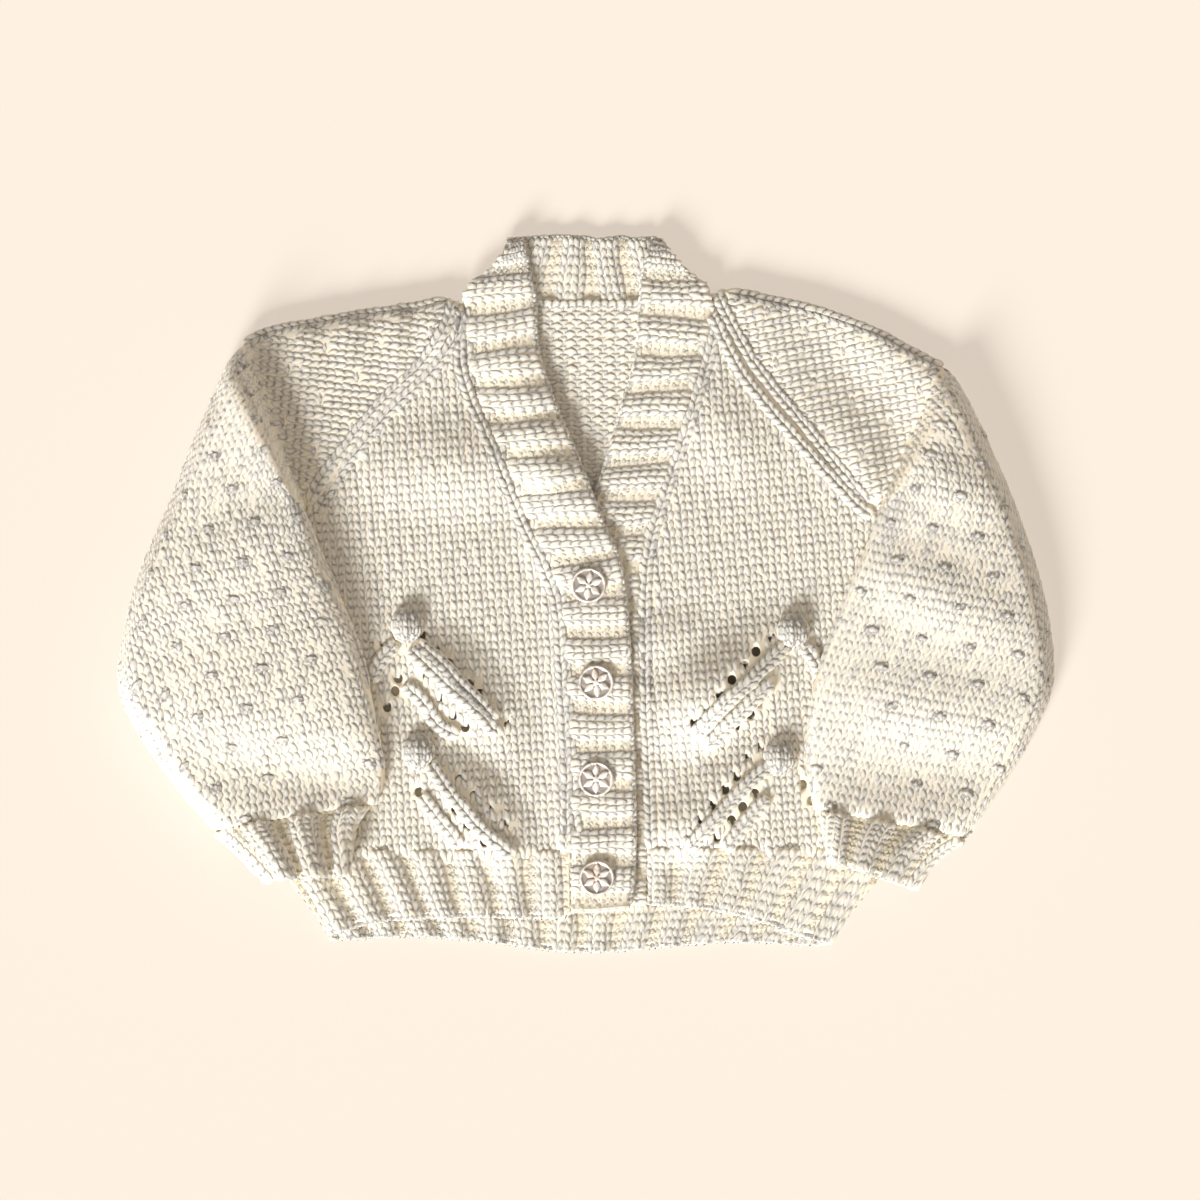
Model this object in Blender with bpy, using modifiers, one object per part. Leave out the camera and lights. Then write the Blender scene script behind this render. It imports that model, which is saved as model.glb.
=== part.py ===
"""A hand-knitted baby cardigan, laid flat, buttoned, with its sleeves folded down over the fronts.

Run with: blender --background --python part.py

+X runs across the garment, +Y from hem to neck and +Z up from the surface that it lies on, and the
origin is under the middle of it. Lengths here are in millimetres and turn to metres at the mesh.
"Right" and "left" are the wearer's, so the right front lies at -X.

The cloth is a wall of one thickness. Each piece is an open surface lofted through a short table of
rows, each row a line across the piece, given its thickness by Solidify. The sleeves and cuffs are
flattened tubes, lofted through rings. Layers and seams stand one small gap apart.
"""

import math
from collections import namedtuple

import bmesh
import bpy
import numpy as np

MM = 0.001
WALL = 2.2  # thickness of the double-knitting cloth
GAP = 0.3  # between layers, and across seams
RIB_PITCH = 14.0  # one repeat of knit 2, purl 2
RIB_DEPTH = 0.5  # height of a rib over the furrow beside it
LAYER = WALL + RIB_DEPTH + GAP  # height of the second layer's underside
OVER_BODY = 2 * LAYER  # height of what lies on the buttoned body

BUTTON_RADIUS = 6.2
BUTTON_THICKNESS = 1.9
BUTTON_RIM = 0.35
SHANK_RADIUS = 1.2
BUTTONHOLE_RADIUS = 1.7
PETALS = 6
PETAL_LENGTH = 4.4
PETAL_WIDTH = 1.9
PETAL_HEIGHT = 0.7

BOBBLE_RADIUS = 5.6
BOBBLE_HEIGHT = 5.4

YARN = ("cream_yarn", (0.93, 0.89, 0.78), 0.8)
PEARL = ("pearl_button", (0.80, 0.76, 0.72), 0.25)

# A row is a line across a panel, from its left end to its right end as seen from above. Bow lifts
# its middle towards the neck.
Row = namedtuple("Row", "left_x left_y right_x right_y bow")

BACK_ROWS = [
    Row(-104.0, -99.5, 104.0, -99.5, 0.0),
    Row(-105.5, -60.0, 105.5, -60.0, 0.0),
    Row(-105.0, -20.0, 105.0, -20.0, 0.0),
    Row(-101.5, 10.0, 102.5, 10.0, 0.0),
    Row(-94.0, 26.0, 98.5, 26.0, 0.0),
    Row(-77.7, 51.0, 81.0, 51.0, 0.0),
    Row(-61.4, 76.0, 63.5, 76.0, 0.0),
    Row(-45.0, 101.2, 46.0, 101.2, 0.0),
]
BACK_WELT_ROWS = [
    Row(-88.5, -121.5, 85.0, -123.2, -1.3),
    Row(-97.0, -110.0, 95.0, -111.0, 0.0),
    Row(-103.8, -99.8, 103.8, -99.8, 0.0),
]
RIGHT_FRONT_ROWS = [
    Row(-104.8, -89.7, -5.3, -89.7, 0.0),
    Row(-105.5, -60.0, -5.3, -60.0, 0.0),
    Row(-105.0, -30.0, -6.9, -30.0, 0.0),
    Row(-104.0, -5.0, -8.6, -5.0, 0.0),
    Row(-101.0, 12.0, -14.6, 12.0, 0.0),
    Row(-94.0, 26.0, -21.4, 26.0, 0.0),
    Row(-77.7, 51.0, -31.6, 51.0, 0.0),
    Row(-61.4, 76.0, -41.6, 76.0, 0.0),
    Row(-47.3, 97.5, -42.4, 97.5, 0.0),
]
LEFT_FRONT_ROWS = [
    Row(21.5, -88.7, 104.8, -88.7, 0.0),
    Row(20.2, -60.0, 105.5, -60.0, 0.0),
    Row(19.3, -30.0, 105.0, -30.0, 0.0),
    Row(19.2, -5.0, 104.2, -5.0, 0.0),
    Row(20.0, 12.0, 102.0, 12.0, 0.0),
    Row(23.4, 26.0, 98.5, 26.0, 0.0),
    Row(31.8, 51.0, 81.0, 51.0, 0.0),
    Row(39.7, 76.0, 63.5, 76.0, 0.0),
    Row(45.2, 97.5, 48.8, 97.5, 0.0),
]
RIGHT_WELT_ROWS = [
    Row(-88.9, -119.8, -5.2, -112.2, -2.6),
    Row(-97.5, -105.0, -5.2, -101.0, -1.5),
    Row(-104.4, -90.0, -5.2, -90.0, 0.0),
]
LEFT_WELT_ROWS = [
    Row(21.1, -109.2, 85.2, -121.8, 2.4),
    Row(21.3, -99.0, 97.0, -106.0, 1.2),
    Row(21.4, -89.0, 104.4, -89.0, 0.0),
]
NECKBAND_ROWS = [
    Row(-31.5, 101.5, 32.5, 101.5, 0.0),
    Row(-28.0, 112.0, 29.0, 112.0, 0.0),
    Row(-24.5, 124.4, 25.5, 124.4, -1.0),
]

# A band row crosses the ribbed front band, from its seam to its free edge.
BandRow = namedtuple("BandRow", "seam_x seam_y free_x free_y")

# The right band, with the buttonholes, lies over the left one below where they cross.
RIGHT_BAND_ROWS = [
    BandRow(-4.9, -111.6, 16.0, -109.9),
    BandRow(-4.9, -85.0, 16.8, -85.0),
    BandRow(-5.3, -50.0, 16.0, -50.0),
    BandRow(-6.9, -25.0, 15.1, -25.0),
    BandRow(-8.3, -3.0, 13.4, -1.0),
    BandRow(-12.6, 10.0, 10.8, 13.0),
    BandRow(-19.4, 24.0, 5.4, 24.6),
    BandRow(-27.4, 44.5, -2.8, 46.0),
    BandRow(-36.6, 65.6, -11.4, 66.5),
    BandRow(-41.3, 82.0, -17.0, 84.5),
    BandRow(-41.6, 97.5, -18.0, 101.0),
    BandRow(-34.0, 111.5, -20.2, 112.5),
    BandRow(-25.0, 122.6, -22.8, 122.9),
]
LEFT_BAND_ROWS = [
    BandRow(20.8, -109.0, 1.0, -109.0),
    BandRow(20.9, -85.0, 1.0, -85.0),
    BandRow(19.5, -50.0, 0.6, -50.0),
    BandRow(18.8, -25.0, -0.4, -25.0),
    BandRow(18.6, -3.0, -1.2, -4.0),
    BandRow(19.2, 10.0, -1.6, 8.0),
    BandRow(22.0, 24.0, -0.6, 22.5),
    BandRow(29.4, 44.5, 6.6, 43.5),
    BandRow(35.4, 65.6, 12.8, 65.0),
    BandRow(40.6, 82.0, 17.6, 82.0),
    BandRow(43.9, 97.5, 19.0, 100.0),
    BandRow(36.0, 111.5, 20.4, 112.5),
    BandRow(26.0, 122.6, 23.9, 122.9),
]

# A ring is one turn round a flattened sleeve, across it from its inner end, at the underarm, to its
# outer end, on the outline. Base is the height of what the inner end lies on, hold is how far from
# that end it reaches, and crown is the height of the tube's two layers over it.
Ring = namedtuple("Ring", "in_x in_y out_x out_y base hold crown")

# The first ring is the raglan seam. The next ones fan round the underarm, and the one with the lowest
# crown after the first is the crease where the sleeve was folded down.
LEFT_SLEEVE_RINGS = [
    Ring(98.9, 26.3, 46.9, 101.6, 0.0, 0.0, 4.9),
    Ring(99.6, 27.0, 62.0, 104.1, 0.0, 0.0, 6.4),
    Ring(100.4, 27.6, 80.0, 98.2, 0.0, 0.0, 7.6),
    Ring(101.2, 27.9, 100.0, 92.0, 0.0, 0.0, 7.8),
    Ring(102.0, 27.8, 114.0, 84.5, 0.0, 0.0, 6.2),
    Ring(102.6, 27.5, 124.5, 79.2, 3.0, 3.0, 5.2),
    Ring(103.1, 26.8, 131.0, 72.5, OVER_BODY, 4.0, 7.4),
    Ring(101.5, 24.4, 137.0, 61.0, OVER_BODY, 5.0, 8.2),
    Ring(99.0, 20.5, 144.0, 45.5, OVER_BODY, 7.0, 8.4),
    Ring(96.3, 14.0, 151.0, 29.0, OVER_BODY, 14.0, 8.4),
    Ring(90.0, 0.0, 158.8, 6.0, OVER_BODY, 22.0, 8.4),
    Ring(83.6, -17.5, 163.4, -15.0, OVER_BODY, 30.0, 8.4),
    Ring(78.4, -35.0, 164.0, -33.5, OVER_BODY, 36.0, 8.4),
    Ring(76.3, -53.0, 156.0, -52.0, OVER_BODY, 38.0, 8.4),
    Ring(77.2, -66.0, 144.5, -71.0, OVER_BODY, 37.0, 8.2),
    Ring(79.0, -75.0, 134.0, -85.0, OVER_BODY, 35.0, 7.6),
]
LEFT_CUFF_RINGS = [
    Ring(79.1, -75.4, 133.4, -85.4, OVER_BODY, 35.0, 7.4),
    Ring(80.7, -82.0, 125.0, -92.0, OVER_BODY, 33.0, 7.0),
    Ring(84.0, -92.6, 115.2, -103.4, OVER_BODY, 30.0, 6.4),
]
RIGHT_SLEEVE_RINGS = [
    Ring(-94.4, 26.3, -45.9, 101.6, 0.0, 0.0, 4.9),
    Ring(-95.1, 27.0, -60.0, 100.0, 0.0, 0.0, 6.4),
    Ring(-95.9, 27.6, -78.0, 97.5, 0.0, 0.0, 7.6),
    Ring(-96.7, 27.9, -96.0, 94.4, 0.0, 0.0, 7.8),
    Ring(-97.5, 27.8, -110.0, 92.5, 0.0, 0.0, 6.2),
    Ring(-98.1, 27.5, -119.0, 87.5, 3.0, 3.0, 5.2),
    Ring(-98.6, 26.8, -125.5, 79.5, OVER_BODY, 4.0, 7.4),
    Ring(-97.0, 24.4, -130.8, 68.0, OVER_BODY, 5.0, 8.2),
    Ring(-94.5, 20.5, -137.8, 53.0, OVER_BODY, 7.0, 8.4),
    Ring(-91.8, 14.0, -145.8, 32.0, OVER_BODY, 14.0, 8.4),
    Ring(-85.6, 0.0, -156.0, 8.5, OVER_BODY, 22.0, 8.4),
    Ring(-78.6, -17.5, -162.2, -14.0, OVER_BODY, 30.0, 8.4),
    Ring(-74.4, -35.0, -163.9, -34.0, OVER_BODY, 36.0, 8.4),
    Ring(-71.2, -51.0, -154.6, -53.0, OVER_BODY, 39.0, 8.4),
    Ring(-69.6, -64.0, -142.0, -69.5, OVER_BODY, 39.0, 8.2),
    Ring(-72.4, -73.0, -131.0, -82.5, OVER_BODY, 37.0, 7.6),
]
RIGHT_CUFF_RINGS = [
    Ring(-72.7, -73.4, -130.4, -83.0, OVER_BODY, 37.0, 7.4),
    Ring(-78.4, -82.0, -123.4, -89.6, OVER_BODY, 33.0, 7.0),
    Ring(-82.4, -98.6, -112.9, -100.4, OVER_BODY, 30.0, 6.4),
]

# Soft rises of the cloth: middle, half-lengths along and across, turn in degrees, and height.
Swell = namedtuple("Swell", "x y long wide turn height")
FRONT_SWELLS = [
    Swell(-42.0, -22.0, 34.0, 13.0, -38.0, 1.5),
    Swell(-52.0, 38.0, 24.0, 11.0, -62.0, 1.1),
    Swell(-30.0, -64.0, 22.0, 11.0, 18.0, 1.2),
    Swell(44.0, 6.0, 32.0, 12.0, 12.0, 1.5),
    Swell(46.0, -40.0, 26.0, 12.0, -24.0, 1.4),
    Swell(56.0, 52.0, 20.0, 9.0, -52.0, 1.0),
]
SWELL_REACH = 1.9  # half-lengths at which a swell has died out

Button = namedtuple("Button", "x y turn")
BUTTONS = [
    Button(0.9, 2.6, 14.0),
    Button(3.5, -31.3, 4.0),
    Button(3.5, -64.9, 0.0),
    Button(3.8, -99.4, 0.0),
]

Bobble = namedtuple("Bobble", "side x y")
BOBBLES = [
    Bobble("right_upper", -62.3, -11.4),
    Bobble("right_lower", -58.4, -55.5),
    Bobble("left_upper", 72.2, -13.6),
    Bobble("left_lower", 67.6, -57.4),
]


def clear_scene():
    """Removes what the file opened with."""
    for obj in list(bpy.data.objects):
        bpy.data.objects.remove(obj, do_unlink=True)


def collection(name):
    """A new collection in the scene."""
    made = bpy.data.collections.new(name)
    bpy.context.scene.collection.children.link(made)
    return made


def material(name, colour, roughness):
    """A plain Principled material."""
    made = bpy.data.materials.new(name)
    made.use_nodes = True
    shader = made.node_tree.nodes["Principled BSDF"]
    shader.inputs["Base Color"].default_value = (*colour, 1.0)
    shader.inputs["Roughness"].default_value = roughness
    return made


def smoothstep(share):
    """0 up to 0, 1 from 1, and an even S between."""
    share = np.clip(share, 0.0, 1.0)
    return share * share * (3.0 - 2.0 * share)


def refined(table, steps):
    """The table's rows as an array, with steps - 1 more between neighbours, on a Catmull-Rom curve."""
    rows = np.array(table, float)
    padded = np.vstack([2 * rows[0] - rows[1], rows, 2 * rows[-1] - rows[-2]])
    at = np.linspace(0.0, len(rows) - 1.0, (len(rows) - 1) * steps + 1)
    start = np.minimum(at.astype(int), len(rows) - 2)
    t = (at - start)[:, None]
    a, b, c, d = (padded[start + shift] for shift in range(4))
    return 0.5 * (
        2 * b + (c - a) * t + (2 * a - 5 * b + 4 * c - d) * t**2 + (3 * b - a - 3 * c + d) * t**3
    )


def swell_height(x, y):
    """How far the fronts' soft rises lift the cloth at x, y."""
    total = np.zeros_like(x)
    for swell in FRONT_SWELLS:
        angle = math.radians(swell.turn)
        along = (x - swell.x) * math.cos(angle) + (y - swell.y) * math.sin(angle)
        across = (y - swell.y) * math.cos(angle) - (x - swell.x) * math.sin(angle)
        reach = np.sqrt((along / swell.long) ** 2 + (across / swell.wide) ** 2) / SWELL_REACH
        total += swell.height * smoothstep(1.0 - reach)
    return total


def band_lift(x, y):
    """How far the right band, and the front beside it, rise over the left band where they cross."""
    crossed = smoothstep((50.0 - y) / 14.0)
    seam_side = -4.0 - 9.0 * smoothstep((y + 2.0) / 18.0)
    return crossed * LAYER * smoothstep((x - seam_side + 14.0) / 17.0)


def rib_wave(across):
    """The height of knit 2, purl 2 ribs over their furrows, at a distance across them."""
    return RIB_DEPTH * (0.5 + 0.5 * np.cos(2 * math.pi * across / RIB_PITCH))


def back_base(x, y):
    return np.zeros_like(x)


def right_front_base(x, y):
    return LAYER + np.maximum(swell_height(x, y), band_lift(x, y))


def left_front_base(x, y):
    return LAYER + swell_height(x, y)


def right_band_base(x, y):
    return LAYER + band_lift(x, y)


def left_band_base(x, y):
    return np.full_like(x, LAYER)


def mesh_object(name, points, faces, home, look):
    """A mesh object from points in millimetres."""
    mesh = bpy.data.meshes.new(name)
    mesh.from_pydata((np.asarray(points) * MM).tolist(), [], faces)
    mesh.materials.append(look)
    obj = bpy.data.objects.new(name, mesh)
    home.objects.link(obj)
    return obj


def grid_faces(rows, columns, closed=False):
    """Quads between neighbouring rows of points, round to the first column if closed."""
    faces = []
    for row in range(rows - 1):
        for column in range(columns if closed else columns - 1):
            following = (column + 1) % columns
            first, second = row * columns, (row + 1) * columns
            faces.append((first + column, first + following, second + following, second + column))
    return faces


def cloth_panel(name, lines, columns, base, home, look, ribs=None):
    """A panel through lines of left x, left y, right x, right y and bow, one wall thick over its base.

    Columns is how many points cross it. Ribs names the axis that its ribs are counted along.
    """
    across = np.linspace(0.0, 1.0, columns)[None, :]
    left_x, left_y, right_x, right_y, bow = (lines[:, k : k + 1] for k in range(5))
    x = left_x + (right_x - left_x) * across
    y = left_y + (right_y - left_y) * across + bow * 4.0 * across * (1.0 - across)
    z = base(x, y)
    if ribs == "x":
        z = z + rib_wave(x)
    points = np.stack([x, y, z], axis=-1).reshape(-1, 3)
    obj = mesh_object(name, points, grid_faces(len(lines), columns), home, look)
    wall = obj.modifiers.new("wall", "SOLIDIFY")
    wall.thickness = WALL * MM
    wall.offset = 1.0
    obj.data.shade_smooth()
    return obj


def band_panel(name, table, base, home, look):
    """A front band. Its seam lies at the left of its rows on the right front, and at the right on the left."""
    rows = refined(table, 2)
    ends = rows if rows[0][0] < rows[0][2] else rows[:, [2, 3, 0, 1]]
    lines = np.hstack([ends, np.zeros((len(ends), 1))])
    return cloth_panel(name, lines, 5, base, home, look)


def ring_points(ring, sides, inset, ribs):
    """Points round one ring of a sleeve or cuff, its wall's inner face if inset is the wall's thickness.

    The turn runs over the top from the inner end to the outer one, and back underneath. Near each
    end it rounds over, and between them the two layers lie flat, fullest in the middle.
    """
    in_x, in_y, out_x, out_y, base, hold, crown = ring
    turn = 2.0 * math.pi * np.arange(sides) / sides
    across = 0.5 - 0.5 * np.cos(turn)
    from_end = math.pi / 2 - np.abs(np.abs(turn - math.pi) - math.pi / 2)
    side = np.where(turn <= math.pi, 1.0, -1.0) * np.sin(
        np.minimum(from_end / math.radians(42.0), 1.0) * math.pi / 2
    )
    width = math.hypot(out_x - in_x, out_y - in_y)
    along = inset / width + across * (1.0 - 2.0 * inset / width)
    rest = base * (1.0 - smoothstep((across * width - hold - 6.0) / 16.0))
    thin = 2.0 * WALL + 2.0 * GAP
    full = thin + (crown - thin) * np.sin(math.pi * across) ** 0.6 if crown > thin else thin + 0 * across
    half = full / 2.0
    z = rest + half + (half - inset) * side
    if ribs:
        z = z + np.where(side > 0.6, 1.0, 0.0) * (rib_wave((across - 0.5) * width) - RIB_DEPTH)
    x = in_x + (out_x - in_x) * along
    y = in_y + (out_y - in_y) * along
    return np.stack([x, y, z], axis=-1)


def cloth_tube(name, rings, sides, home, look, ribs=False):
    """A sleeve or cuff: a flattened tube through its rings, with both ends open."""
    outer = np.concatenate([ring_points(ring, sides, 0.0, ribs) for ring in rings])
    inner = np.concatenate([ring_points(ring, sides, WALL, ribs) for ring in rings])
    shift = len(outer)
    faces = grid_faces(len(rings), sides, closed=True)
    faces += [tuple(shift + corner for corner in face[::-1]) for face in faces]
    last = (len(rings) - 1) * sides
    for side in range(sides):
        following = (side + 1) % sides
        faces.append((side, shift + side, shift + following, following))
        faces.append((last + following, last + shift + following, last + shift + side, last + side))
    obj = mesh_object(name, np.vstack([outer, inner]), faces, home, look)
    shape = bmesh.new()
    shape.from_mesh(obj.data)
    bmesh.ops.recalc_face_normals(shape, faces=shape.faces)
    shape.to_mesh(obj.data)
    shape.free()
    obj.data.shade_smooth()
    return obj


def turned(name, profile, steps, home, look):
    """A solid turned about +Z from a profile of radius and height, listed from the top down."""
    mesh = bpy.data.meshes.new(name)
    points = [(radius * MM, 0.0, height * MM) for radius, height in profile]
    mesh.from_pydata(points, [(k, k + 1) for k in range(len(points) - 1)], [])
    mesh.materials.append(look)
    obj = bpy.data.objects.new(name, mesh)
    home.objects.link(obj)
    screw = obj.modifiers.new("turn", "SCREW")
    screw.steps = screw.render_steps = steps
    screw.use_merge_vertices = True
    screw.merge_threshold = 0.00001
    return obj


def buttonhole(button, cutters, look):
    """The cutter of the round eyelet that a button's shank comes up through."""
    bpy.ops.mesh.primitive_cylinder_add(
        vertices=16,
        radius=BUTTONHOLE_RADIUS * MM,
        depth=4 * OVER_BODY * MM,
        location=(button.x * MM, button.y * MM, OVER_BODY * MM),
    )
    hole = bpy.context.object
    for held in list(hole.users_collection):
        held.objects.unlink(hole)
    cutters.objects.link(hole)
    hole.hide_render = True
    hole.display_type = "WIRE"
    hole.data.materials.append(look)
    return hole


def petal(name, angle, home, look):
    """One petal of the button's flower: a pointed lens with a ridge along it, a squashed octahedron."""
    middle = 0.25 + PETAL_LENGTH / 2.0
    bpy.ops.mesh.primitive_uv_sphere_add(segments=4, ring_count=4, radius=1.0)
    lens = bpy.context.object
    lens.name = name
    for held in list(lens.users_collection):
        held.objects.unlink(lens)
    home.objects.link(lens)
    lens.data.materials.append(look)
    half = (PETAL_LENGTH / 2.0 * MM, PETAL_WIDTH / 2.0 * MM, PETAL_HEIGHT * MM)
    for vertex in lens.data.vertices:
        x, y, z = (vertex.co[k] * half[k] for k in range(3))
        x += middle * MM
        vertex.co = (
            x * math.cos(angle) - y * math.sin(angle),
            x * math.sin(angle) + y * math.cos(angle),
            z,
        )
    return lens


def pearl_button(number, button, home, cutters, look):
    """A shank button: a dished disc with a rim and a flower in relief, sewn to the left band below."""
    name = f"button_{number}"
    seat = OVER_BODY + WALL + GAP
    shank_foot = OVER_BODY - seat
    top = BUTTON_THICKNESS
    profile = [
        (0.0, top - BUTTON_RIM),
        (BUTTON_RADIUS - 0.9, top - BUTTON_RIM),
        (BUTTON_RADIUS - 0.5, top),
        (BUTTON_RADIUS - 0.15, top - 0.1),
        (BUTTON_RADIUS, top * 0.62),
        (BUTTON_RADIUS - 0.5, top * 0.22),
        (BUTTON_RADIUS - 1.6, 0.0),
        (SHANK_RADIUS, 0.0),
        (SHANK_RADIUS, shank_foot),
        (0.0, shank_foot),
    ]
    obj = turned(name, profile, 40, home, look)
    for index in range(PETALS):
        angle = math.radians(button.turn + 90.0 + index * 360.0 / PETALS)
        lens = petal(f"{name}_petal_{index + 1}", angle, cutters, look)
        lens.location = (button.x * MM, button.y * MM, (seat + top - BUTTON_RIM - 0.05) * MM)
        lens.hide_render = True
        lens.display_type = "WIRE"
        join = obj.modifiers.new(f"petal_{index + 1}", "BOOLEAN")
        join.operation = "UNION"
        join.object = lens
    obj.location = (button.x * MM, button.y * MM, seat * MM)
    return obj


def bobble(spot, base, home, look):
    """A knitted bobble: a round knop standing on its front, a little under-cut at its foot."""
    profile = [(0.0, BOBBLE_HEIGHT)]
    for step in range(1, 7):
        angle = math.radians(step * 20.0)
        profile.append(
            (
                BOBBLE_RADIUS * math.sin(angle),
                BOBBLE_HEIGHT * (0.42 + 0.58 * math.cos(angle)) if angle < math.pi / 2
                else BOBBLE_HEIGHT * (0.42 + 0.84 * math.cos(angle)),
            )
        )
    profile.append((0.0, 0.0))
    obj = turned(f"bobble_{spot.side}", profile, 16, home, look)
    around = np.linspace(0.0, 2.0 * math.pi, 24)
    x = spot.x + BOBBLE_RADIUS * np.cos(around)
    y = spot.y + BOBBLE_RADIUS * np.sin(around)
    height = base(np.append(x, spot.x), np.append(y, spot.y)).max() + WALL + GAP
    obj.location = (spot.x * MM, spot.y * MM, height * MM)
    return obj


def build():
    clear_scene()
    home = collection("baby_cardigan")
    cutters = collection("cutters")
    yarn = material(*YARN)
    pearl = material(*PEARL)

    cloth_panel("back", refined(BACK_ROWS, 1), 15, back_base, home, yarn)
    cloth_panel("back_welt", refined(BACK_WELT_ROWS, 1), 61, back_base, home, yarn, ribs="x")
    cloth_panel("right_front", refined(RIGHT_FRONT_ROWS, 2), 13, right_front_base, home, yarn)
    cloth_panel("left_front", refined(LEFT_FRONT_ROWS, 2), 13, left_front_base, home, yarn)
    cloth_panel("right_welt", refined(RIGHT_WELT_ROWS, 1), 31, right_front_base, home, yarn, ribs="x")
    cloth_panel("left_welt", refined(LEFT_WELT_ROWS, 1), 27, left_front_base, home, yarn, ribs="x")
    cloth_panel("back_neckband", refined(NECKBAND_ROWS, 1), 23, back_base, home, yarn, ribs="x")

    cloth_tube("right_sleeve", RIGHT_SLEEVE_RINGS, 20, home, yarn)
    cloth_tube("left_sleeve", LEFT_SLEEVE_RINGS, 20, home, yarn)
    cloth_tube("right_cuff", RIGHT_CUFF_RINGS, 32, home, yarn, ribs=True)
    cloth_tube("left_cuff", LEFT_CUFF_RINGS, 32, home, yarn, ribs=True)

    band = band_panel("right_band", RIGHT_BAND_ROWS, right_band_base, home, yarn)
    band_panel("left_band", LEFT_BAND_ROWS, left_band_base, home, yarn)
    for number, button in enumerate(BUTTONS, start=1):
        cut = band.modifiers.new(f"buttonhole_{number}", "BOOLEAN")
        cut.operation = "DIFFERENCE"
        cut.object = buttonhole(button, cutters, yarn)
        pearl_button(number, button, home, cutters, pearl)

    for spot in BOBBLES:
        base = right_front_base if spot.x < 0 else left_front_base
        bobble(spot, base, home, yarn)


build()
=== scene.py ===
import logging
import math
from dataclasses import dataclass, field
from enum import Enum
from typing import Callable, Sequence

import bpy
import numpy as np
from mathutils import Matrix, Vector


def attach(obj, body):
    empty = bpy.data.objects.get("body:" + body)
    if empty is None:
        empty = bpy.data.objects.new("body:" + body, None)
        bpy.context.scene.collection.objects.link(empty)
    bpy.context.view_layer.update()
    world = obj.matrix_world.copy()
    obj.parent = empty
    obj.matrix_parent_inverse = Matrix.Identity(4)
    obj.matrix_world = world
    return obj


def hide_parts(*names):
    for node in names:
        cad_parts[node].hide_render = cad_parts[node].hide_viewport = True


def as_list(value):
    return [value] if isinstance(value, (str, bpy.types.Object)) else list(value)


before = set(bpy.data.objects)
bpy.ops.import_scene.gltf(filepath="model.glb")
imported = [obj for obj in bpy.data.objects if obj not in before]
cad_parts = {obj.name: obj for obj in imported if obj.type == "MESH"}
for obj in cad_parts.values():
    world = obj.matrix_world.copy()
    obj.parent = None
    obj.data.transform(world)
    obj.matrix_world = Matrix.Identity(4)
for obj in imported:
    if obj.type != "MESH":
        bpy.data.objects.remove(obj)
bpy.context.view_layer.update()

MM = 0.001
STITCH = 4.55  # width of a knit column, mm
ROW = 2.98  # height of a row, mm
YARN = 1.3  # radius of the double-knitting yarn as it lies in a stitch, mm
SHELL = 2.2  # thickness of the backing that shows between stitches, mm
FLAT = 0.64  # height of the yarn's section over its width
SEAT = 0.64  # height of a stitch's yarn over the middle of the cloth, mm
CLOTH = 3.0  # thickness of the cloth over its stitches, mm
LEVEL = 3.0  # rise from one layer of cloth to the next, mm
REST = 2.1  # height of the middle of cloth that lies on the surface, mm
RIB_REPEAT = 13.3  # knit 2, purl 2, mm
SEED = 11
FURROW_SHADE = 1.6  # painted shade: how far the purl stitches in a furrow lean to the yarn's deeper colour, in tones
LINK_STEP = 0.8  # stitches from one link of an edge's chain to the next
LINK_YARN = 1.0  # radius of the yarn in an edge's chain, mm
GLOW = "#FBF0E3"  # colour of the light that a plain finish gives off
OUTER_ROUNDING = 28.0  # turn over which a tube's layers part at its outer end, degrees
INNER_ROUNDING = 42.0  # the same at its inner end, degrees
SETTLE = (6.0, 16.0)  # start and length of a tube's fall past what holds it up, mm
BRIDGE = 5.5  # distance from the outer end over which the upper layer sinks to the surface, mm
FULLNESS = 0.4  # power of the sine that a tube's height follows from end to end

Height = Callable[[np.ndarray, np.ndarray], np.ndarray]
log = logging.getLogger("cardigan")


class Side(Enum):
    """Which face of the cloth a stitch lies on."""

    FACE = 1.0
    UNDER = -1.0


class Kind(Enum):
    """How a stitch looks on the face it lies on."""

    KNIT = "knit"
    PURL = "purl"
    NUB = "nub"


# ---------------------------------------------------------------- numbers


def smoothstep(share: np.ndarray) -> np.ndarray:
    """An even S from 0 at 0 to 1 at 1.

    Args:
        share: Position along the S; values outside 0 to 1 are clamped.

    Returns:
        3 s^2 - 2 s^3 of the clamped share.
    """
    share = np.clip(share, 0.0, 1.0)
    return share * share * (3.0 - 2.0 * share)


def refined(table: Sequence[Sequence[float]], steps: int) -> np.ndarray:
    """Rows of a table joined by a Catmull-Rom curve.

    Args:
        table: Rows of numbers.
        steps: How many steps lead from one row to the next.

    Returns:
        The rows, with steps - 1 more between each two.
    """
    rows = np.array(table, float)
    padded = np.vstack([2 * rows[0] - rows[1], rows, 2 * rows[-1] - rows[-2]])
    at = np.linspace(0.0, len(rows) - 1.0, (len(rows) - 1) * steps + 1)
    start = np.minimum(at.astype(int), len(rows) - 2)
    t = (at - start)[:, None]
    a, b, c, d = (padded[start + shift] for shift in range(4))
    return 0.5 * (2 * b + (c - a) * t + (2 * a - 5 * b + 4 * c - d) * t**2 + (3 * b - a - 3 * c + d) * t**3)


def unit(vectors: np.ndarray) -> np.ndarray:
    """Vectors scaled to length 1.

    Args:
        vectors: Array whose last axis is the vector.

    Returns:
        The unit vectors.
    """
    return vectors / np.maximum(np.linalg.norm(vectors, axis=-1, keepdims=True), 1e-9)


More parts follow.
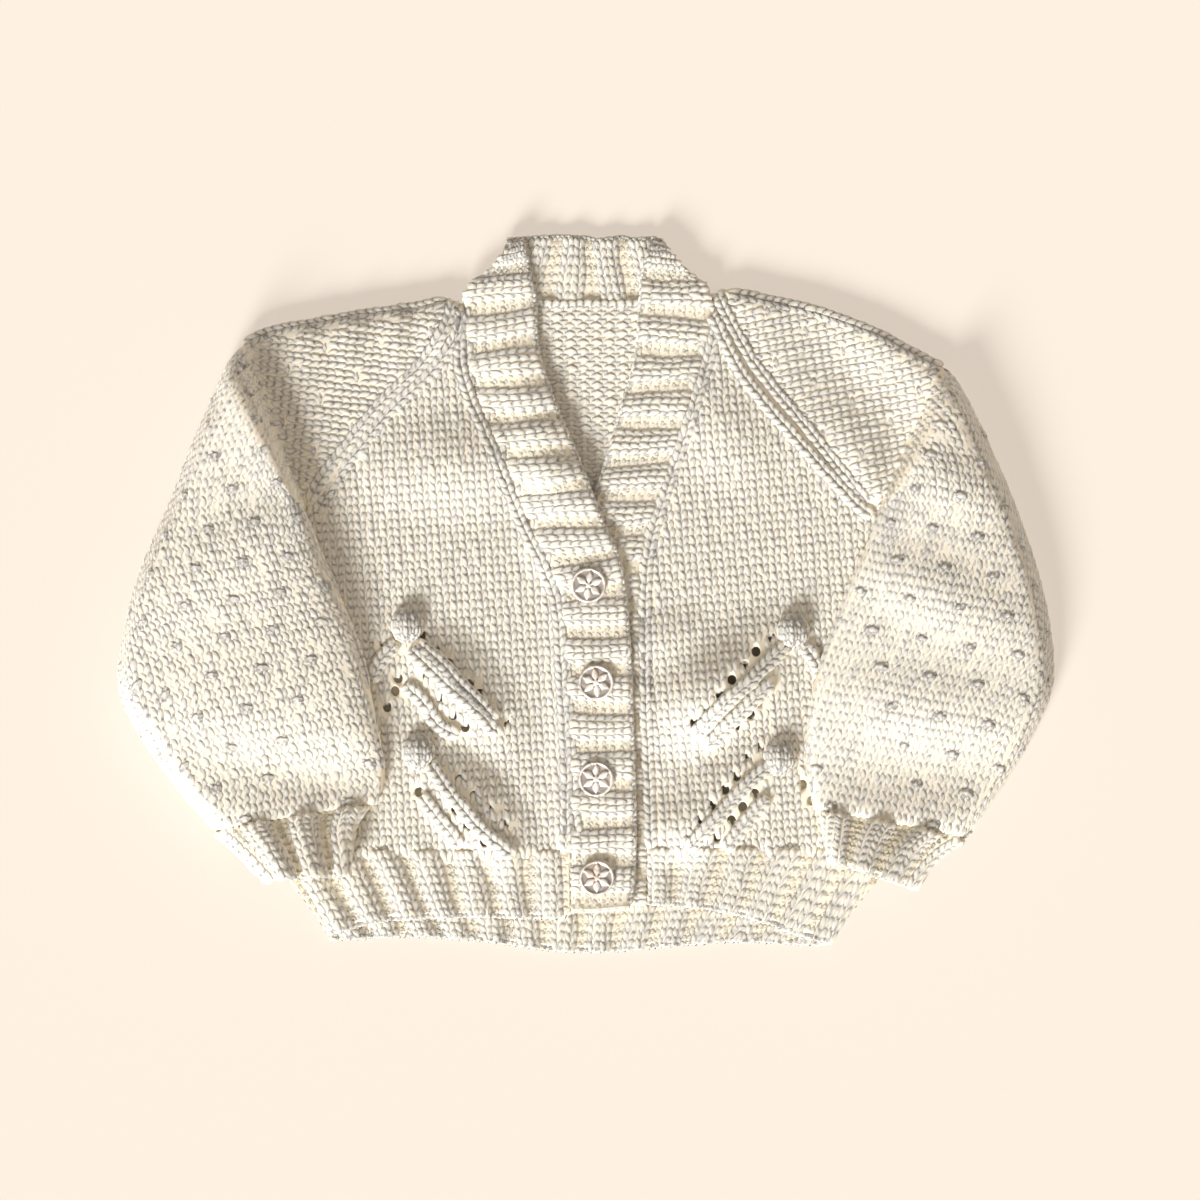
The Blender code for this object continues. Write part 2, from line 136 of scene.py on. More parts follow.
def distance_to_line(points: np.ndarray, line: np.ndarray) -> np.ndarray:
    """Plan distance from points to a polyline.

    Args:
        points: (n, 2) points.
        line: (m, 2) corners of the polyline.

    Returns:
        (n,) distances to the nearest segment.
    """
    start, run = line[:-1], np.diff(line, axis=0)
    reach = points[:, None, :] - start[None]
    share = np.clip((reach * run).sum(-1) / np.maximum((run * run).sum(-1), 1e-9), 0.0, 1.0)
    return np.linalg.norm(reach - share[..., None] * run[None], axis=-1).min(axis=1)


def inside(points: np.ndarray, outline: np.ndarray) -> np.ndarray:
    """Whether plan points lie in a closed outline, by counting the edges to one side of each.

    Args:
        points: (n, 2) points.
        outline: (m, 2) corners, not repeated.

    Returns:
        (n,) booleans.
    """
    a, b = outline, np.roll(outline, -1, axis=0)
    x, y = points[:, :1], points[:, 1:2]
    spans = (a[:, 1] > y) != (b[:, 1] > y)
    rise = np.where(b[:, 1] == a[:, 1], 1e-9, b[:, 1] - a[:, 1])
    crossing = x < (b[:, 0] - a[:, 0]) * (y - a[:, 1]) / rise + a[:, 0]
    return (spans & crossing).sum(axis=1) % 2 == 1


def well_inside(points: np.ndarray, outline: np.ndarray, margin: float) -> np.ndarray:
    """Whether plan points lie in an outline and at least a margin from its edge.

    Args:
        points: (n, 2) points.
        outline: (m, 2) corners, not repeated.
        margin: Least distance from the edge, mm. Negative takes in points that far outside.

    Returns:
        (n,) booleans.
    """
    near = distance_to_line(points, np.vstack([outline, outline[:1]]))
    within = inside(points, outline)
    return within & (near > margin) if margin >= 0 else within | (near < -margin)


def distance_along(points: np.ndarray) -> np.ndarray:
    """Distance from the first point of each line to every other along it.

    Args:
        points: (..., n, k) points of the lines.

    Returns:
        (..., n) distances, 0 at the first point.
    """
    steps = np.linalg.norm(np.diff(points, axis=-2), axis=-1)
    return np.concatenate([np.zeros((*steps.shape[:-1], 1)), np.cumsum(steps, axis=-1)], axis=-1)


def sampled(at: np.ndarray, along: np.ndarray, points: np.ndarray) -> np.ndarray:
    """Points of a line at given distances along it.

    Args:
        at: Distances to read it at.
        along: (n,) distances of its points.
        points: (n, k) points.

    Returns:
        The points, with a last axis of k.
    """
    return np.stack([np.interp(at, along, points[:, k]) for k in range(points.shape[1])], axis=-1)


def stitch_grid(columns: tuple[int, int], rows: tuple[int, int]) -> tuple[np.ndarray, np.ndarray]:
    """Middles of the stitches of a rectangle of cloth.

    Args:
        columns: First column, and the one after the last.
        rows: First row, and the one after the last.

    Returns:
        The stitch counts and the row counts, one of each for every stitch.
    """
    c, r = np.meshgrid(np.arange(*columns) + 0.5, np.arange(*rows) + 0.5, indexing="ij")
    return c.ravel(), r.ravel()


# ---------------------------------------------------------------- fabric


@dataclass
class Fabric:
    """A piece of cloth as a table of points over its stitches.

    Attributes:
        table: (columns, rows, 3) points in mm at even steps of the stitch count.
        column_start: Stitch count of the first table column.
        row_start: Row count of the first table row.
        step: Stitches or rows from one table entry to the next.
    """

    table: np.ndarray
    column_start: float = 0.0
    row_start: float = 0.0
    step: float = 0.25

    def at(self, column: np.ndarray, row: np.ndarray) -> np.ndarray:
        """Points of the cloth's middle, straight lines between table entries.

        Args:
            column: Stitch counts across.
            row: Row counts up, of the same shape.

        Returns:
            Points in mm, with a last axis of 3.
        """
        c = np.clip((column - self.column_start) / self.step, 0.0, self.table.shape[0] - 1.001)
        r = np.clip((row - self.row_start) / self.step, 0.0, self.table.shape[1] - 1.001)
        i, j = c.astype(int), r.astype(int)
        s, t = (c - i)[..., None], (r - j)[..., None]
        low = self.table[i, j] * (1 - s) + self.table[i + 1, j] * s
        high = self.table[i, j + 1] * (1 - s) + self.table[i + 1, j + 1] * s
        return low * (1 - t) + high * t

    def normal(self, column: np.ndarray, row: np.ndarray) -> np.ndarray:
        """Unit normals of the face: the cross product of the runs across and up.

        Args:
            column: Stitch counts across.
            row: Row counts up.

        Returns:
            Unit vectors, with a last axis of 3.
        """
        reach = 0.45
        across = self.at(column + reach, row) - self.at(column - reach, row)
        up = self.at(column, row + reach) - self.at(column, row - reach)
        return unit(np.cross(across, up))


def table_steps(first: float, last: float, step: float) -> np.ndarray:
    """Even counts from first to at least last.

    Args:
        first: First count.
        last: Count to reach.
        step: Step between counts.

    Returns:
        The counts.
    """
    return first + step * np.arange(int(math.ceil((last - first) / step)) + 1)


def rib_shape(column: np.ndarray, knit_share: float = 0.63) -> tuple[np.ndarray, np.ndarray]:
    """Where knit 2, purl 2 columns lie in their repeats, and how far they stand up.

    Args:
        column: Stitch counts; 0 to 2 of each 4 are knit.
        knit_share: Share of the repeat's width that its two knit columns take.

    Returns:
        Positions in repeats, and heights from -1 in a furrow to 1 on a rib.
    """
    repeat = np.floor(column / 4.0)
    within = column - 4.0 * repeat
    knit = within / 2.0 * knit_share
    purl = knit_share + (within - 2.0) / 2.0 * (1 - knit_share)
    share = np.where(within < 2.0, knit, purl)
    wave = np.cos(2 * math.pi * (share - knit_share / 2.0))
    return repeat + share, wave / np.sqrt(0.3 + 0.7 * wave * wave)


def plan_fabric(
    origin: tuple[float, float],
    lean: float,
    span: tuple[float, float, float, float],
    height: Height,
) -> Fabric:
    """Cloth whose columns stand straight up the plan, on a height over it.

    Args:
        origin: Plan point of stitch 0, row 0, mm.
        lean: Turn of the columns to the left of +Y, degrees.
        span: Lowest and highest column, then lowest and highest row.
        height: Height of the cloth's middle over the plan, mm.

    Returns:
        The fabric.
    """
    columns, rows = table_steps(span[0], span[1], 0.5), table_steps(span[2], span[3], 0.5)
    c, r = np.meshgrid(columns * STITCH, rows * ROW, indexing="ij")
    angle = math.radians(lean)
    x = origin[0] + c * math.cos(angle) - r * math.sin(angle)
    y = origin[1] + c * math.sin(angle) + r * math.cos(angle)
    return Fabric(np.stack([x, y, height(x, y)], axis=-1), span[0], span[2], 0.5)


def rib_fabric(
    foot: np.ndarray,
    head: np.ndarray,
    rows: int,
    height: Height,
    depth: float,
    phase: float = 0.0,
) -> Fabric:
    """Ribbed cloth whose ribs run from one plan line to another.

    A point is (1 - v) foot + v head at the same share of both lines, lifted by depth on the knit
    columns and sunk on the purl ones. Each rib wanders from its line by up to 0.35 mm.

    Args:
        foot: (n, 2) plan points where the ribs start, mm.
        head: (n, 2) plan points where they end.
        rows: How many rows of stitches lie between.
        height: Height of the cloth's middle over the plan, mm.
        depth: Height of a rib over the middle, mm.
        phase: Stitches by which the first repeat is already over.

    Returns:
        The fabric, whose face is up where head lies to the left of the way along foot.
    """
    middle = (foot + head) / 2
    along = distance_along(middle)
    columns = table_steps(0.0, along[-1] / RIB_REPEAT * 4.0, 0.25)
    place, wave = rib_shape(columns + phase)
    place = (place - rib_shape(np.array([phase]))[0][0]) * RIB_REPEAT
    v = table_steps(0.0, rows, 0.25) / rows
    low = sampled(place, along, foot)[:, None]
    high = sampled(place, along, head)[:, None]
    plan = low * (1 - v[:, None]) + high * v[:, None]
    course = unit(np.gradient(low[:, 0], axis=0))[:, None]
    plan = plan + course * (0.35 * np.sin(v * rows * 0.55 + place[:, None] * 0.21))[..., None]
    z = height(plan[..., 0], plan[..., 1]) + depth * wave[:, None]
    return Fabric(np.concatenate([plan, z[..., None]], axis=-1), 0.0, 0.0, 0.25)


def strip_fabric(path: np.ndarray, width: float, height: Height, lift: float) -> Fabric:
    """A single column of stitches that runs along a plan path, standing proud of the cloth.

    Args:
        path: (n, 2) plan points from the column's foot up, mm.
        width: Width of the column, mm.
        height: Height of the cloth's middle over the plan, mm.
        lift: Height of the column's middle over that, mm.

    Returns:
        The fabric, one stitch wide from -0.5 to 0.5, with rows of the usual height.
    """
    along = distance_along(path)
    rows = table_steps(-0.5, along[-1] / ROW + 0.5, 0.5)
    x, y = (np.interp(rows * ROW, along, path[:, k]) for k in range(2))
    heading = unit(np.stack([np.gradient(x), np.gradient(y)], axis=-1))
    columns = np.arange(-1.0, 1.01, 0.5)
    side = columns[:, None] * width
    px = x + heading[:, 1] * side
    py = y - heading[:, 0] * side
    pz = height(px, py) + lift - 0.35 * np.abs(columns[:, None]) * width * 0.4
    return Fabric(np.stack([px, py, pz], axis=-1), -1.0, -0.5, 0.5)


# ---------------------------------------------------------------- yarn

# A yarn row is a point along one length of yarn in a stitch: columns and rows from the stitch's
# middle, height over the cloth in mm, and share of the yarn's radius.
KNIT_LEG = np.array(
    [
        (0.11, -1.00, -0.38, 0.60),
        (0.17, -0.52, 0.04, 0.88),
        (0.24, 0.00, 0.20, 0.98),
        (0.31, 0.50, 0.06, 0.90),
        (0.36, 0.92, -0.38, 0.62),
    ]
)
PURL_HEAD = np.array(
    [
        (-0.52, -0.20, -0.35, 0.66),
        (-0.30, 0.20, 0.14, 0.95),
        (0.00, 0.34, 0.28, 1.00),
        (0.30, 0.20, 0.14, 0.95),
        (0.52, -0.20, -0.35, 0.66),
    ]
)
PURL_FOOT = np.array(
    [
        (0.05, 0.10, -0.38, 0.62),
        (0.25, -0.26, 0.04, 0.90),
        (0.50, -0.38, 0.14, 0.95),
        (0.75, -0.26, 0.04, 0.90),
        (0.95, 0.10, -0.38, 0.62),
    ]
)
NUB_BAR = np.array(
    [
        (-0.62, -0.36, -0.20, 0.55),
        (-0.36, 0.02, 0.28, 0.90),
        (0.00, 0.12, 0.44, 0.98),
        (0.36, 0.02, 0.28, 0.90),
        (0.62, -0.36, -0.20, 0.55),
    ]
)
EDGE_LINK = np.array(
    [
        (-0.62, -0.12, -0.30, 0.55),
        (-0.30, 0.10, 0.25, 1.00),
        (0.05, 0.14, 0.40, 1.06),
        (0.40, 0.00, 0.20, 0.95),
        (0.70, -0.22, -0.35, 0.55),
    ]
)
KNIT_LEGS = (KNIT_LEG, KNIT_LEG * [-1, 1, 1, 1])
SHAPES = {
    Kind.KNIT: KNIT_LEGS,
    Kind.PURL: (PURL_HEAD, PURL_FOOT),
    Kind.NUB: (*KNIT_LEGS, NUB_BAR),
}


@dataclass(frozen=True)
class Fineness:
    """How finely a length of yarn is modelled.

    Attributes:
        sides: Faces round it.
        keep: Which points of its path are kept.
    """

    sides: int
    keep: tuple[int, ...]


FINE = Fineness(5, (0, 1, 2, 3, 4))
COARSE = Fineness(3, (0, 2, 4))


@dataclass
class Yarn:
    """Lengths of yarn gathered into one mesh, each a closed swept tube.

    Attributes:
        points: Tables of points, mm.
        uvs: Tables of each face corner's place along and round its length.
        corners: Point numbers of every face.
        sizes: How many corners each face has.
        tones: Tone of each point, the same for one length: random, plus any painted shade.
        lays: The cloth's normal at each point.
        count: Points so far.
        painted_shade: What is added to the tones of the lengths to come, as painted shade on the stitches in
            a furrow.
        rng: Source of the unevenness of hand knitting.
    """

    points: list = field(default_factory=list)
    uvs: list = field(default_factory=list)
    corners: list = field(default_factory=list)
    sizes: list = field(default_factory=list)
    tones: list = field(default_factory=list)
    lays: list = field(default_factory=list)
    count: int = 0
    painted_shade: float = 0.0
    rng: np.random.Generator = field(default_factory=lambda: np.random.default_rng(SEED))

    def sweep(self, paths: np.ndarray, radii: np.ndarray, normals: np.ndarray, sides: int) -> None:
        """Adds closed tubes along paths, flattened a little towards the cloth.

        Each ring is p + r (cos a side + FLAT sin a up), with side = normal x tangent.

        Args:
            paths: (n, k, 3) points along each length, mm.
            radii: (n, k) radii, mm.
            normals: (n, k, 3) unit normals of the cloth there.
            sides: Faces round each tube.
        """
        n, k, _ = paths.shape
        if n == 0:
            return
        tangent = unit(np.gradient(paths, axis=1))
        side = unit(np.cross(normals, tangent))
        up = np.cross(tangent, side)
        turn = 2 * math.pi * np.arange(sides) / sides
        ring = side[:, :, None] * np.cos(turn)[:, None] + FLAT * up[:, :, None] * np.sin(turn)[:, None]
        tube = (paths[:, :, None] + radii[:, :, None, None] * ring).reshape(n, k * sides, 3)
        each = k * sides
        i, s = np.meshgrid(np.arange(k - 1), np.arange(sides), indexing="ij")
        t = (s + 1) % sides
        quads = np.stack([i * sides + s, i * sides + t, (i + 1) * sides + t, (i + 1) * sides + s], axis=-1)
        steps = ((0, 0), (0, 1), (1, 1), (1, 0))
        quad_uv = np.stack([np.stack([i + a, s + b], -1) for a, b in steps], axis=2)
        ring_of = np.arange(sides)
        corner = np.concatenate([quads.ravel(), ring_of[::-1], (k - 1) * sides + ring_of])
        cap_uv = np.concatenate([np.stack([0 * ring_of + a, ring_of], -1) for a in (0, k - 1)])
        uv = np.concatenate([quad_uv.reshape(-1, 2), cap_uv]) / [k - 1, sides]
        shift = self.count + each * np.arange(n)[:, None]
        start = self.rng.random(n)[:, None]
        self.points.append(tube.reshape(-1, 3))
        self.corners.append((corner[None] + shift).ravel())
        self.sizes.append(np.tile(np.concatenate([np.full((k - 1) * sides, 4), [sides, sides]]), n))
        round_it = np.broadcast_to(uv[None, :, 1], (n, len(uv)))
        self.uvs.append(np.stack([uv[None, :, 0] + start, round_it], -1).reshape(-1, 2))
        self.tones.append(np.repeat(self.rng.random(n) + self.painted_shade, each))
        self.lays.append(np.repeat(normals.reshape(-1, 3), sides, axis=0))
        self.count += each * n

    def stitch(
        self,
        fabric: Fabric,
        columns: np.ndarray,
        rows: np.ndarray,
        kind: Kind,
        side: Side = Side.FACE,
        fineness: Fineness = FINE,
        radius: float = YARN,
        lift: float = 0.0,
        uneven: float = 1.0,
    ) -> None:
        """Adds stitches of one kind.

        Args:
            fabric: The cloth they lie on.
            columns: (n,) stitch counts of their middles.
            rows: (n,) row counts of their middles.
            kind: What they look like.
            side: Which face they lie on.
            fineness: How finely they are modelled.
            radius: The yarn's radius, mm.
            lift: Extra height over the cloth, mm.
            uneven: Share of the usual unevenness of hand knitting.
        """
        if len(columns) == 0:
            return
        for shape in SHAPES[kind]:
            self.lengths(fabric, columns, rows, shape, side, fineness, radius, lift, uneven)

    def lengths(
        self,
        fabric: Fabric,
        columns: np.ndarray,
        rows: np.ndarray,
        shape: np.ndarray,
        side: Side = Side.FACE,
        fineness: Fineness = FINE,
        radius: float = YARN,
        lift: float = 0.0,
        uneven: float = 1.0,
    ) -> None:
        """Adds one length of yarn of a shape to each place.

        Args:
            fabric: The cloth they lie on.
            columns: (n,) stitch counts of their middles.
            rows: (n,) row counts of their middles.
            shape: Yarn rows.
            side: Which face they lie on.
            fineness: How finely they are modelled.
            radius: The yarn's radius, mm.
            lift: Extra height over the cloth, mm.
            uneven: Share of the usual unevenness of hand knitting.
        """
        shape = shape[list(fineness.keep)]
        n = len(columns)
        wobble = self.rng.normal(0.0, 1.0, (4, n, 1)) * uneven
        c = columns[:, None] + shape[:, 0] * (1 + 0.05 * wobble[0]) + 0.022 * wobble[1]
        r = rows[:, None] + shape[:, 1] * (1 + 0.04 * wobble[2]) + 0.03 * wobble[3]
        middle = fabric.at(c, r)
        normal = fabric.normal(c, r) * side.value
        size = 1 + 0.05 * self.rng.normal(0.0, 1.0, (n, 1)) * uneven
        out = SEAT + lift + shape[:, 2] + 0.06 * wobble[1]
        paths = middle + normal * out[..., None]
        self.sweep(paths, radius * shape[:, 3] * size, normal, fineness.sides)

    def build(self, name: str, look: bpy.types.Material) -> bpy.types.Object:
        """Makes the mesh object.

        Args:
            name: The object's name.
            look: Its material.

        Returns:
            The object, with a uv map of along and round each length, and a tone per length.
        """
        parts = (np.concatenate(part) for part in (self.points, self.corners, self.sizes))
        mesh = face_mesh(name, *parts)
        mesh.uv_layers.new(name="yarn").data.foreach_set("uv", np.concatenate(self.uvs).ravel())
        tone = mesh.attributes.new("tone", "FLOAT", "POINT")
        tone.data.foreach_set("value", np.concatenate(self.tones))
        lay = mesh.attributes.new("lay", "FLOAT_VECTOR", "POINT")
        lay.data.foreach_set("vector", np.concatenate(self.lays).ravel())
        return placed(name, mesh, look)


def placed(name: str, mesh: bpy.types.Mesh, look: bpy.types.Material) -> bpy.types.Object:
    """An object of a mesh, in the scene.

    Args:
        name: Its name.
        mesh: Its mesh.
        look: Its material.

    Returns:
        The object.
    """
    mesh.materials.append(look)
    obj = bpy.data.objects.new(name, mesh)
    bpy.context.scene.collection.objects.link(obj)
    return obj


def face_mesh(name: str, points: np.ndarray, corners: np.ndarray, sizes: np.ndarray) -> bpy.types.Mesh:
    """A smooth mesh of faces.

    Args:
        name: The mesh's name.
        points: (n, 3) points, mm.
        corners: Point numbers of every face, one face after another.
        sizes: How many corners each face has.

    Returns:
        The mesh.
    """
    mesh = bpy.data.meshes.new(name)
    mesh.vertices.add(len(points))
    mesh.vertices.foreach_set("co", (points * MM).ravel())
    mesh.loops.add(len(corners))
    mesh.loops.foreach_set("vertex_index", corners)
    mesh.polygons.add(len(sizes))
    mesh.polygons.foreach_set("loop_start", np.concatenate([[0], np.cumsum(sizes)[:-1]]))
    mesh.polygons.foreach_set("use_smooth", np.ones(len(sizes), bool))
    mesh.update(calc_edges=True)
    return mesh


def grid_mesh(name: str, points: np.ndarray, closed: bool = False) -> bpy.types.Mesh:
    """A mesh of quads over a grid of points.

    Args:
        name: The mesh's name.
        points: (rows, columns, 3) points in mm, columns running to the right of the rows' order.
        closed: Whether the last column joins the first.

    Returns:
        The mesh, smooth.
    """
    rows, columns, _ = points.shape
    i, j = np.meshgrid(np.arange(rows - 1), np.arange(columns if closed else columns - 1), indexing="ij")
    k = (j + 1) % columns
    below, above = i * columns, (i + 1) * columns
    quads = np.stack([below + j, below + k, above + k, above + j], axis=-1).reshape(-1, 4)
    return face_mesh(name, points.reshape(-1, 3), quads.ravel(), np.full(len(quads), 4))


# ---------------------------------------------------------------- finishes


def linear(code: str) -> tuple[float, float, float, float]:
    """The linear colour of an sRGB hex code.

    Args:
        code: Six hex digits, with or without a leading hash.

    Returns:
        Linear red, green, blue and 1.
    """
    parts = [int(code.lstrip("#")[k : k + 2], 16) / 255 for k in (0, 2, 4)]
    parts = [p / 12.92 if p <= 0.04045 else ((p + 0.055) / 1.055) ** 2.4 for p in parts]
    return (*parts, 1.0)


def node(
    tree: bpy.types.NodeTree,
    kind: str,
    settings: dict | None = None,
    links: dict | None = None,
) -> bpy.types.Node:
    """Adds a node to a tree.

    Args:
        tree: The node tree.
        kind: The node's type name.
        settings: Values by attribute name, or by input name or number.
        links: Output sockets by the name or number of the input that each feeds.

    Returns:
        The node.
    """
    made = tree.nodes.new(kind)
    for key, value in (settings or {}).items():
        if isinstance(key, str) and hasattr(made, key):
            setattr(made, key, value)
        else:
            made.inputs[key].default_value = value
    for key, source in (links or {}).items():
        tree.links.new(source, made.inputs[key])
    return made


@dataclass(frozen=True)
class WoolLook:
    """Soft acrylic yarn, plied, with a short nap.

    Attributes:
        name: The material's name.
        light: Colour of the yarn, as sRGB hex.
        deep_and_shade: Warmer, darker colour that its deeper random tones lean to, and that the stitches in
            its furrows lean to as painted shade, as sRGB hex.
        plies: Strands twisted round each other.
        twist: Turns of a strand along a length of yarn in a stitch.
        bump: Depth of the furrows between strands, mm.
        nap: How far the nap evens the light over each stitch, as a share of its own normal.
    """

    name: str
    light: str
    deep_and_shade: str
    plies: float = 3.0
    twist: float = 0.8
    bump: float = 0.16
    nap: float = 1.4

    def build(self) -> bpy.types.Material:
        """Makes the material.

        The ply furrows are a sine of plies x round + twist x along, read from the yarn's uv map.
        The nap turns each normal part of the way to the cloth's own, kept in the attribute lay.

        Returns:
            The material.
        """
        made = bpy.data.materials.new(self.name)
        made.use_nodes = True
        tree = made.node_tree
        shader = tree.nodes["Principled BSDF"]
        tone = node(tree, "ShaderNodeAttribute", {"attribute_name": "tone"})
        place = node(tree, "ShaderNodeTexCoord")
        fluff = node(
            tree,
            "ShaderNodeTexNoise",
            {"Scale": 1400.0, "Detail": 3.0},
            {"Vector": place.outputs["Object"]},
        )
        # The tone holds random unevenness plus painted shade in the furrows; it leans the colour to the
        # deeper one.
        spread = node(tree, "ShaderNodeMath", {"operation": "MULTIPLY", 1: 0.14}, {0: tone.outputs["Fac"]})
        mixed = node(
            tree,
            "ShaderNodeMath",
            {"operation": "MULTIPLY_ADD", 1: 0.12},
            {0: fluff.outputs["Fac"], 2: spread.outputs[0]},
        )
        colour = node(
            tree,
            "ShaderNodeMix",
            {"data_type": "RGBA", 6: linear(self.light), 7: linear(self.deep_and_shade)},
            {0: mixed.outputs[0]},
        )
        uv = node(tree, "ShaderNodeUVMap", {"uv_map": "yarn"})
        parts = node(tree, "ShaderNodeSeparateXYZ", links={0: uv.outputs[0]})
        around = node(
            tree,
            "ShaderNodeMath",
            {"operation": "MULTIPLY", 1: 2 * math.pi * self.plies},
            {0: parts.outputs[1]},
        )
        phase = node(
            tree,
            "ShaderNodeMath",
            {"operation": "MULTIPLY_ADD", 1: 2 * math.pi * self.plies * self.twist},
            {0: parts.outputs[0], 2: around.outputs[0]},
        )
        wave = node(tree, "ShaderNodeMath", {"operation": "SINE"}, {0: phase.outputs[0]})
        rough = node(
            tree,
            "ShaderNodeMath",
            {"operation": "MULTIPLY_ADD", 1: 0.9},
            {0: fluff.outputs["Fac"], 2: wave.outputs[0]},
        )
        relief = node(
            tree,
            "ShaderNodeBump",
            {"Strength": 0.6, "Distance": self.bump * MM},
            {"Height": rough.outputs[0]},
        )
        lay = node(tree, "ShaderNodeAttribute", {"attribute_name": "lay"})
        nap = node(
            tree,
            "ShaderNodeVectorMath",
            {"operation": "SCALE", "Scale": self.nap},
            {0: lay.outputs["Vector"]},
        )
        soft = node(
            tree,
            "ShaderNodeVectorMath",
            {"operation": "ADD"},
            {0: nap.outputs[0], 1: relief.outputs[0]},
        )
        turned = node(tree, "ShaderNodeVectorMath", {"operation": "NORMALIZE"}, {0: soft.outputs[0]})
        tree.links.new(colour.outputs[2], shader.inputs["Base Color"])
        tree.links.new(turned.outputs[0], shader.inputs["Normal"])
        shader.inputs["Roughness"].default_value = 0.72
        shader.inputs["Specular IOR Level"].default_value = 0.35
        shader.inputs["Sheen Weight"].default_value = 0.35
        shader.inputs["Sheen Roughness"].default_value = 0.4
        shader.inputs["Subsurface Weight"].default_value = 0.8
        shader.inputs["Subsurface Radius"].default_value = (1.0, 0.94, 0.8)
        shader.inputs["Subsurface Scale"].default_value = 1.8 * MM
        return made


@dataclass(frozen=True)
class PlainLook:
    """An even finish with no pattern.

    Attributes:
        name: The material's name.
        colour: Its colour, as sRGB hex.
        roughness: Its roughness.
        glow: Strength of the light that it gives off.
    """

    name: str
    colour: str
    roughness: float
    glow: float = 0.0

    def build(self) -> bpy.types.Material:
        """Makes the material.

        Returns:
            The material.
        """
        made = bpy.data.materials.new(self.name)
        made.use_nodes = True
        shader = made.node_tree.nodes["Principled BSDF"]
        shader.inputs["Base Color"].default_value = linear(self.colour)
        shader.inputs["Roughness"].default_value = self.roughness
        shader.inputs["Emission Color"].default_value = linear(GLOW)
        shader.inputs["Emission Strength"].default_value = self.glow
        return made


@dataclass(frozen=True)
class PearlLook:
    """Pearly button plastic, clouded with warm tints.

    Attributes:
        name: The material's name.
        pale: Its main colour, as sRGB hex.
        cloud: The grey of its clouds, as sRGB hex.
        tint: The warm colour in places, as sRGB hex.
    """

    name: str
    pale: str = "#FAF8F6"
    cloud: str = "#A8A19D"
    tint: str = "#C9A27E"

    def build(self) -> bpy.types.Material:
        """Makes the material.

        Returns:
            The material.
        """
        made = bpy.data.materials.new(self.name)
        made.use_nodes = True
        tree = made.node_tree
        shader = tree.nodes["Principled BSDF"]
        place = node(tree, "ShaderNodeTexCoord")
        cloud = node(
            tree,
            "ShaderNodeTexNoise",
            {"Scale": 260.0, "Detail": 2.0, "Distortion": 1.2},
            {"Vector": place.outputs["Object"]},
        )
        spots = node(
            tree,
            "ShaderNodeTexNoise",
            {"Scale": 120.0, "Detail": 1.0},
            {"Vector": place.outputs["Object"]},
        )
        raised = node(tree, "ShaderNodeAttribute", {"attribute_name": "raised"})
        lean = node(
            tree,
            "ShaderNodeMath",
            {"operation": "MULTIPLY_ADD", 1: -0.34},
            {0: raised.outputs["Fac"], 2: cloud.outputs["Fac"]},
        )
        share = node(tree, "ShaderNodeMapRange", {1: 0.12, 2: 0.42}, {0: lean.outputs[0]})
        warm = node(tree, "ShaderNodeMapRange", {1: 0.58, 2: 0.8, 4: 0.7}, {0: spots.outputs["Fac"]})
        greys = node(
            tree,
            "ShaderNodeMix",
            {"data_type": "RGBA", 6: linear(self.pale), 7: linear(self.cloud)},
            {0: share.outputs[0]},
        )
        mixed = node(
            tree,
            "ShaderNodeMix",
            {"data_type": "RGBA", 7: linear(self.tint)},
            {0: warm.outputs[0], 6: greys.outputs[2]},
        )
        tree.links.new(mixed.outputs[2], shader.inputs["Base Color"])
        shader.inputs["Roughness"].default_value = 0.22
        shader.inputs["Coat Weight"].default_value = 0.6
        shader.inputs["Coat Roughness"].default_value = 0.08
        shader.inputs["Subsurface Weight"].default_value = 0.1
        shader.inputs["Subsurface Scale"].default_value = 1.0 * MM
        return made


@dataclass(frozen=True)
class Looks:
    """The finished materials.

    Attributes:
        wool: The yarn.
        backing: The cloth between the stitches, a little darker than the yarn as painted shade.
        pearl: The buttons.
        floor: The surface that the cardigan lies on.
    """

    wool: bpy.types.Material
    backing: bpy.types.Material
    pearl: bpy.types.Material
    floor: bpy.types.Material


def make_looks() -> Looks:
    """Builds each finish once.

    Returns:
        The materials.
    """
    return Looks(
        # The deeper yarn colour also paints the shade on the stitches in the rib furrows.
        WoolLook("cream_yarn", "#FCF7EB", "#EBD6A4").build(),
        # The backing is the yarn's colour, darkened as painted shade between the stitches.
        PlainLook("cream_yarn_painted_shade", "#F5EEDF", 0.95).build(),
        PearlLook("pearl_button").build(),
        PlainLook("floor", "#A7A19C", 0.9, glow=0.52).build(),
    )


# ---------------------------------------------------------------- the lie of the cloth

# A swell is a soft rise or, below 0, a trough: middle, half-lengths along and across, turn, height.
SWELLS = [
    # x, y, long, wide, turn, height
    (-40.6, 44.8, 26.0, 12.0, 3.0, 3.4),
    (-44.4, -33.0, 20.0, 9.5, -46.0, 4.0),
    (-39.6, -75.3, 18.0, 9.0, -48.0, 5.4),
    (-84.0, -18.0, 42.0, 10.0, -72.5, 3.2),
    (52.5, -30.0, 20.0, 11.0, 44.0, 5.4),
    (41.0, -38.0, 19.0, 12.0, 12.0, 4.2),
    (46.6, -70.0, 18.0, 9.5, 47.0, 4.2),
    (33.0, -83.0, 13.0, 8.0, 5.0, 2.6),
    (46.9, 57.0, 16.0, 11.0, -50.0, 2.0),
    (29.0, -16.5, 12.0, 7.0, 10.0, 1.6),
    (-15.5, 57.0, 24.0, 9.0, -67.0, 2.8),
]
